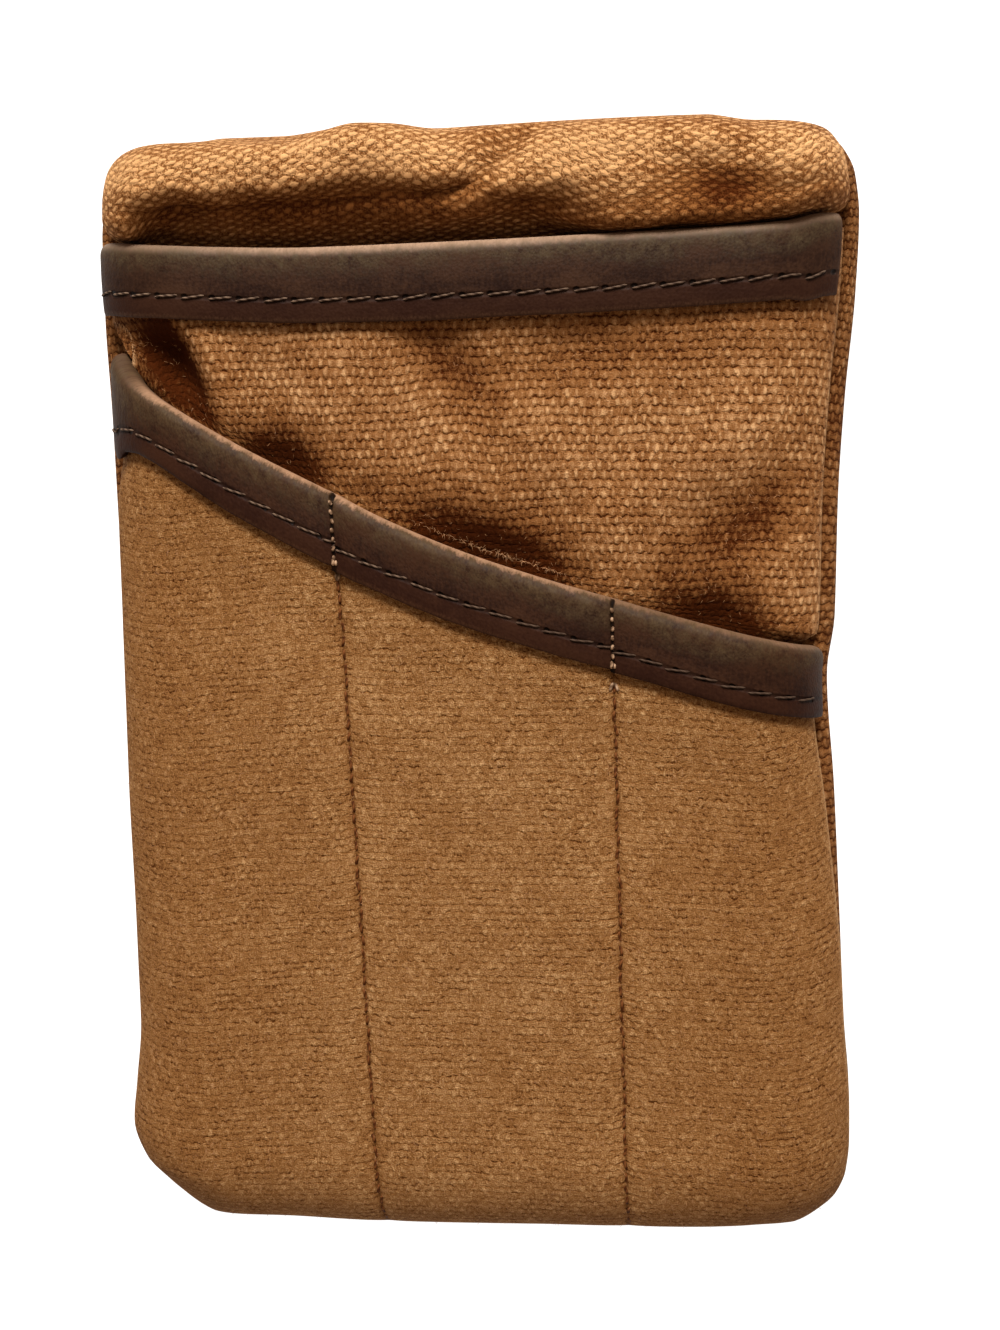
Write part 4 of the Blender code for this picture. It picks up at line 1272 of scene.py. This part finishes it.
def binding_stitches(place, height, edges, mouth, material, tone_falls):
    """A row of stitches on the front of a binding. Each rises from one hole, runs a little
    askew over the leather and dips into the next. The thread is browner past the second of
    two places across the pouch."""
    front = np.ones((1, 1200))
    share = front * 0.5
    for _ in range(3):
        points, _ = binding_points(height, edges, mouth, share, front)
        width = read(mouth, 2, points[..., 0])
        share = (width - read(mouth, 3, points[..., 0])) / width
    face, normal = binding_points(height, edges, mouth, share, front, ON_LEATHER)
    face, normal = face[0], normal[0]
    along = lengths(face[None], 1)[0]
    random = np.random.default_rng(5)
    paths = []
    count = int((along[-1] - 1.0) / STITCH_PITCH)
    for number in range(count):
        start = number * STITCH_PITCH + random.uniform(-0.08, 0.08)
        step = np.linspace(0, 1, 9)
        at = start + (STITCH_PITCH - STITCH_GAP) * step
        base, out = on_line(at, along, face), on_line(at, along, normal)
        side = unit(np.cross(out, np.gradient(base, axis=0)))
        lean = (step - 0.5) * random.uniform(0.30, 0.60)
        arch = -0.5 + 0.72 * arched(step)
        paths.append(base + out * (arch * THREAD)[:, None] + side * lean[:, None])
    pale = 0.7 if mouth is LOWER_MOUTH else 1.0
    tones = [(1.0 - 0.72 * ease(*tone_falls, path[4, 0])) * pale for path in paths]
    return thread_row(f"{place}_band_stitches", paths, THREAD / 2, material, tones=tones)


def slot_stitches(name, seam, material):
    """The seam's stitches down the canvas: short dark dashes sunk in the groove."""
    random = np.random.default_rng(17 + seam)
    paths = []
    y = read(LOWER_MOUTH, 1, seam_x(seam, 10)) - BELOW_BAND
    while y > SLOT_STITCHES_TO:
        step = np.linspace(0, 1, 7)
        at = y - random.uniform(1.3, 1.75) * step
        x = seam_x(seam, at) + random.uniform(-0.18, 0.18) + (step - 0.5) * random.uniform(-0.45, 0.55)
        arch = random.uniform(-0.62, -0.42) + 0.62 * arched(step)
        paths.append(stack(x, at, lower_height(x, at) + CANVAS / 2 + arch * 0.36))
        y -= SLOT_PITCH
    return thread_row(name, paths, SLOT_THREAD_RADIUS, material)


def tack_stitches(name, seam, material):
    """Where the slot seam crosses the leather: short pale stitches with dark pits between
    them, and under the leather's edge the knot that ends the seam."""
    random = np.random.default_rng(29 + seam)
    share = np.linspace(0.10, 1.0, 120)[:, None] + np.zeros((1, 1400))
    front = np.ones_like(share)
    points, normal = binding_points(lower_height, lower_edges, LOWER_MOUTH, share, front, ON_LEATHER)
    nearest = np.argmin(np.abs(points[..., 0] - seam_x(seam, points[..., 1])), axis=1)
    line = points[np.arange(len(points)), nearest][::-1]
    out = normal[np.arange(len(points)), nearest][::-1]
    step = np.linspace(0, 1, 7)
    arch = -0.5 + 0.85 * arched(step)
    paths, tones = [], []
    first, last = math.ceil(line[0, 1] / TACK_PITCH), math.floor(line[-1, 1] / TACK_PITCH)
    for number in range(first, last + 1):
        at = TACK_PITCH * number + 0.24 - 0.48 * step
        base, up = on_line(at, line[:, 1], line), on_line(at, line[:, 1], out)
        base[:, 0] += random.uniform(-0.09, 0.09) + (step - 0.5) * random.uniform(-0.2, 0.2)
        paths.append(base + up * (arch * 0.42)[:, None])
        tones.append(random.uniform(0.35, 1.0))
    foot = line[0, 1]
    for start, end, aside, spread in ((0.9, -0.7, -0.16, -0.1), (0.6, -1.0, 0.16, 0.1), *SEAM_KNOTS[seam]):
        at = foot + start + (end - start) * step
        x = seam_x(seam, at) + aside + spread * step
        on_leather = np.interp(at, line[:, 1], line[:, 2])
        z = np.where(at > foot, on_leather, lower_height(x, at) + CANVAS / 2 + 0.05)
        paths.append(stack(x, at, z + arch * 0.35))
        tones.append(0.9)
    return thread_row(name, paths, TACK_THREAD_RADIUS, material, tones=tones)


# Zip

# degrees below level of the tape's edges and of the teeth
TAPE_TURNS = (-4.0, 61.0)
CHAIN_AT = 25.0
TAPE = 0.7
TAPE_HALF_LENGTH = 36.0
TAPE_RADIUS = END_RADIUS - CANVAS / 2 - 0.75 - 0.5
TEETH = 64
TEETH_FROM = -32.0
TOOTH_PITCH = 1.0
TOOTH_RADIUS = 0.40
SLIDER_AT = 23.0
SLIDER_HALF_LENGTH = 4.6
SLIDER_HALF_TURN = 12.0
PULL_FROM = 25.5
PULL_LENGTH = 14.0
PULL_RADIUS = 0.75


def round_end(x, radius, turn):
    """A place inside the round zipped end, from its radius and its angle below level."""
    angle = np.radians(turn)
    return stack(x, END_REACH - END_RADIUS + radius * np.cos(angle), END_HEIGHT - radius * np.sin(angle))


def zip_tape():
    """The two tapes as one woven strip bent round the inside of the end, with a thicker
    cord along each side of the teeth."""
    x = np.linspace(-TAPE_HALF_LENGTH, TAPE_HALF_LENGTH, 120)[None, :]
    turn = np.linspace(*TAPE_TURNS, 60)[:, None]
    cords = np.exp(-(((np.abs(turn - CHAIN_AT) - 15) / 3.0) ** 2))
    points = round_end(x + 0 * turn, TAPE_RADIUS + 0.25 * cords + 0 * x, turn + 0 * x)
    return wall("zip_tapes", points, cloth_uv(points), TAPE, TAPE_CLOTH)


def zip_teeth():
    """Two combs of small rounded teeth that meet in the middle of the tape, each tooth a
    ring of points carried out from the tape and closed by its ends."""
    paths = []
    lift = np.array([0.35, 0.75, 0.95, 0.9, 0.6])
    for number in range(TEETH):
        side = 1 if number % 2 else -1
        turn = CHAIN_AT + side * np.linspace(13.0, -4.0, 5)
        x = TEETH_FROM + number * TOOTH_PITCH + 0 * turn
        paths.append(round_end(x, TAPE_RADIUS + lift, turn))
    return thread_row("zip_teeth", paths, TOOTH_RADIUS, ZIP_METAL)


def zip_slider():
    """The slider's body, a rounded plate over the teeth: a superellipse carried from the
    middle of its top over the edge to the middle of its under side, bent round the end."""
    rows, columns = 24, 40
    ring = np.linspace(0, 1, rows)[:, None]
    turn = np.linspace(0, 2 * np.pi, columns, endpoint=False)[None, :]
    c, s = np.cos(turn), np.sin(turn)
    reach = 1 / (np.abs(c) ** 4 + np.abs(s) ** 4) ** 0.25
    fold = np.pi * ring
    out = np.sin(fold) ** 0.5
    x = SLIDER_AT + SLIDER_HALF_LENGTH * out * reach * c
    angle = CHAIN_AT + SLIDER_HALF_TURN * out * reach * s * (1 - 0.25 * np.clip(c, 0, 1))
    radius = TAPE_RADIUS + 1.25 + 0.45 * np.sign(np.cos(fold)) * np.abs(np.cos(fold)) ** 0.6
    points = round_end(x, radius, angle).reshape(-1, 3)
    faces = grid_faces(rows, columns, closed=True)
    piece = put_together("zip_slider", points, faces, np.zeros((len(points), 2)), ZIP_METAL)
    return reworked(piece, lambda mesh: bmesh.ops.remove_doubles(mesh, verts=mesh.verts, dist=1e-6))


def zip_pull():
    """A short flat cord tab that hangs from the slider along the tape."""
    step = np.linspace(0, 1, 12)
    x = PULL_FROM - PULL_LENGTH * step
    path = round_end(x, TAPE_RADIUS + 2.05 - 0.75 * step, CHAIN_AT + 2.0 * np.sin(step * 3.0))
    return thread_row("zip_pull", [path], PULL_RADIUS, TAPE_THREAD, 8)


# Loose fibres

FIBRE_SUNK = 0.02
FIBRE_HALF_WIDTH = 0.022


def loose_fibres(name, surface, count, seed, reach, x_range, y_range):
    """Short stray fibres: each a flat sliver of three quads that leaves the cloth, bends
    over and tapers, thrown at random over a surface given as a height over x and y."""
    random = np.random.default_rng(seed)
    x = random.uniform(*x_range, count)
    y = random.uniform(*y_range, count)
    z = surface(x, y)
    keep = np.isfinite(z)
    x, y, z = x[keep], y[keep], z[keep]
    step = 0.3
    slope_x = (surface(x + step, y) - surface(x - step, y)) / (2 * step)
    slope_y = (surface(x, y + step) - surface(x, y - step)) / (2 * step)
    out = unit(np.stack([-slope_x, -slope_y, np.ones_like(x)], -1))
    keep = np.isfinite(out).all(1)
    x, y, z, out = x[keep], y[keep], z[keep], out[keep]
    number = len(x)
    heading = random.uniform(0, 2 * np.pi, number)
    flat = np.stack([np.cos(heading), np.sin(heading), np.zeros(number)], -1)
    flat = unit(flat - out * (flat * out).sum(1, keepdims=True))
    side = np.cross(out, flat)
    length = reach * random.uniform(0.35, 1.0, number)[:, None]
    curl = random.uniform(-0.5, 0.5, number)[:, None]
    base = np.stack([x, y, z], -1) + out * (CANVAS / 2 - FIBRE_SUNK)
    rows = []
    for share, width in ((0.0, 1.0), (0.4, 0.9), (0.75, 0.6), (1.0, 0.15)):
        rise = 0.5 * math.sin(math.pi * min(share * 0.8 + 0.1, 1.0)) - 0.15
        middle = base + flat * length * share + out * length * rise + side * length * curl * share * share
        half = side * FIBRE_HALF_WIDTH * width
        rows.append(np.stack([middle - half, middle + half], 1))
    points = np.stack(rows, 1).reshape(-1, 3)
    first = (np.arange(number) * 8)[:, None]
    quads = np.array([[0, 1, 3, 2], [2, 3, 5, 4], [4, 5, 7, 6]])
    faces = (first[:, :, None] + quads[None]).reshape(-1, 4)
    uv = np.repeat(np.stack([x, y], -1), 8, 0) / 10
    return put_together(name, points, faces, uv, FIBRE, 180)


def upper_seen(x, y):
    """The slip pocket's height where it shows between the bindings."""
    shown = (y > read(LOWER_MOUTH, 1, x) + 0.5) & (y < read(UPPER_MOUTH, 1, x) - 10.2)
    return np.where(shown & (inside(x, upper_edges(x, y)) > 0.4), upper_height(x, y), np.nan)


def beside_mouth(x, y):
    """The slip pocket's height close above the worn middle of the slanting mouth."""
    above = y - read(LOWER_MOUTH, 1, x)
    shown = (above > 0.1) & (above < 1.6 * np.exp(-(((x - 3) / 14) ** 2)))
    return np.where(shown, upper_height(x, y) + 1.2 * ease(1.0, 0.0, above), np.nan)


def lower_seen(x, y):
    """The lower pocket's height below its binding."""
    below = y < read(LOWER_MOUTH, 1, x) - BELOW_BAND * slant(LOWER_MOUTH, x)
    shown = below & (y > foot_edge(x) + 0.4) & (inside(x, lower_edges(x, y)) > 0.4)
    return np.where(shown, lower_height(x, y), np.nan)


# Dressing

# pitches across and along the cloth, in millimetres
UPPER_PITCH = (0.62, 1.21)
ROLL_PITCH = (1.17, 1.28)
LOWER_PITCH = (0.60, 1.01)
TAPE_PITCH = (0.45, 0.45)
UPPER_CLOTH = canvas("canvas_upper", upright_knots, UPPER_PITCH, 0.1, 0.0, (1.15, 1.15, 1.14), 0.6, 0.36)
ROLL_CLOTH = canvas("canvas_roll", level_knots, ROLL_PITCH, 0.2, 60.0, (1.26, 1.19, 1.07), 0.72, 0.20)
LOWER_CLOTH = canvas("canvas_lower", upright_knots, LOWER_PITCH, 0.6, 120.0, (1.22, 1.31, 1.30))
BACK_CLOTH = canvas("canvas_back", upright_knots, UPPER_PITCH, seed=180.0)
UPPER_LEATHER = band_leather("leather_upper", 0.3, under=0.55)
LOWER_LEATHER = band_leather("leather_lower", 0.85, (0.97, 0.88, 0.80), under=0.45)
BAND_THREAD = thread_paint("thread_band", (0.190, 0.130, 0.090), (0.050, 0.030, 0.020))
SEAM_THREAD = thread_paint("thread_seam", (0.160, 0.062, 0.020), (0.060, 0.018, 0.004))
TACK_THREAD = thread_paint("thread_tack", (0.42, 0.28, 0.18), (0.12, 0.07, 0.04))
TAPE_CLOTH = canvas("zip_tape_cloth", upright_knots, TAPE_PITCH, tint=(0.25, 0.25, 0.25))
TAPE_THREAD = thread_paint("thread_pull", (0.16, 0.085, 0.045), (0.05, 0.025, 0.014))
ZIP_METAL = plain_paint("zip_brass", (0.38, 0.25, 0.11), 0.35, 1.0)
FIBRE = plain_paint("stray_fibre", (0.56, 0.31, 0.15), 0.7)

lower_cloth = dress(lower_pocket(), "canvas", "lower_pocket")
upper_cloth = dress(upper_pocket(), "canvas", "upper_pocket")
front_cloth = dress(front_wall(), "canvas", "front_panel")
back_cloth = dress(back_tray(), "canvas", "back_panel")
upper_band = ("upper", upper_height, upper_edges, UPPER_MOUTH)
lower_band = ("lower", lower_height, lower_edges, LOWER_MOUTH)
upper_leather = dress(binding(*upper_band, UPPER_LEATHER), "leather", "upper_binding")
lower_leather = dress(binding(*lower_band, LOWER_LEATHER), "leather", "lower_binding")
upper_stitches = dress(binding_stitches(*upper_band, BAND_THREAD, (-80, 90)), "leather")
lower_stitches = dress(binding_stitches(*lower_band, BAND_THREAD, (-15, 15)), "leather")
seam_threads = []
for seam, side in enumerate(("left", "right")):
    seam_threads.append(dress(slot_stitches(f"slot_stitches_{side}", seam, SEAM_THREAD), "canvas"))
    seam_threads.append(dress(tack_stitches(f"tack_stitches_{side}", seam, TACK_THREAD), "leather"))
dress(zip_tape(), "zip_tape", "zip")
dress(zip_teeth(), "zip_tape")
dress(zip_slider(), "zip_tape")
dress(zip_pull(), "zip_tape")
lower_nap = dress(loose_fibres("nap_lower", lower_seen, 9000, 3, 0.9, (-52, 52), (-77, 50)), "canvas")
upper_nap = dress(loose_fibres("nap_upper", upper_seen, 2500, 7, 0.8, (-52, 52), (8, 56)), "canvas")
mouth_nap = dress(loose_fibres("fibres_mouth", beside_mouth, 9000, 19, 1.1, (-18, 24), (12, 32)), "canvas")

cloth_sheet(lower_cloth, "laid", [upper_cloth], lower_leather, lower_stitches, *seam_threads, lower_nap)
cloth_sheet(upper_cloth, "laid", [front_cloth], upper_leather, upper_stitches, upper_nap, mouth_nap)
cloth_sheet(front_cloth, "gathered", [back_cloth])
cloth_sheet(back_cloth, "laid", [])


# Floor, light and camera


def floor():
    """Plain pale ground under the pouch."""
    mesh = bpy.data.meshes.new("floor")
    side = 3.0
    corners = [(-side, -side, 0), (side, -side, 0), (side, side, 0), (-side, side, 0)]
    mesh.from_pydata(corners, [], [(0, 1, 2, 3)])
    paint = bpy.data.materials.new("floor_paint")
    paint.use_nodes = True
    shader = paint.node_tree.nodes["Principled BSDF"]
    shader.inputs["Base Color"].default_value = (0.25, 0.25, 0.25, 1)
    shader.inputs["Emission Color"].default_value = (1, 1, 1, 1)
    shader.inputs["Emission Strength"].default_value = 0.82
    shader.inputs["Roughness"].default_value = 0.9
    shader.inputs["Specular IOR Level"].default_value = 0.1
    mesh.materials.append(paint)
    ground = bpy.data.objects.new("floor", mesh)
    ground.location.z = -0.0005
    bpy.context.scene.collection.objects.link(ground)
    ground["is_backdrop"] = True


def lamp(name, at, aim, size, watts):
    """Square soft light that faces a point."""
    light = bpy.data.lights.new(name, "AREA")
    light.shape = "SQUARE"
    light.size = size
    light.energy = watts
    lit = bpy.data.objects.new(name, light)
    lit.location = at
    direction = np.array(aim) - np.array(at)
    pitch = math.acos(-direction[2] / np.linalg.norm(direction))
    lit.rotation_euler = (pitch, 0, math.atan2(direction[1], direction[0]) - math.pi / 2)
    bpy.context.scene.collection.objects.link(lit)


def set_camera():
    """The photograph's view: turned about X, then Y, then Z, from its own place."""
    data = bpy.data.cameras.new("camera")
    data.lens = LENS
    data.sensor_width = 36
    data.clip_start = 0.01
    camera = bpy.data.objects.new("camera", data)
    about_x, about_y, about_z = (
        Matrix.Rotation(math.radians(angle), 4, axis) for angle, axis in zip(CAMERA_TURNS, "XYZ")
    )
    camera.matrix_world = Matrix.Translation(CAMERA_AT) @ (about_z @ about_y @ about_x).inverted()
    bpy.context.scene.collection.objects.link(camera)
    bpy.context.scene.camera = camera


floor()
lamp("window", (0.03, 0.68, 0.58), (0.0, 0.0, 0.0), 0.26, 11.2)
world = bpy.data.worlds.new("room")
world.use_nodes = True
world.node_tree.nodes["Background"].inputs["Color"].default_value = (1.0, 0.84, 0.70, 1)
world.node_tree.nodes["Background"].inputs["Strength"].default_value = 0.46
bpy.context.scene.world = world
bpy.context.scene.view_settings.view_transform = "Standard"
bpy.context.scene.view_settings.look = "Medium High Contrast"
set_camera()

boxes = {"cad": CAD_BOX, "visual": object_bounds()}
{key: [[float(c) for c in corner] for corner in box] for key, box in boxes.items()}
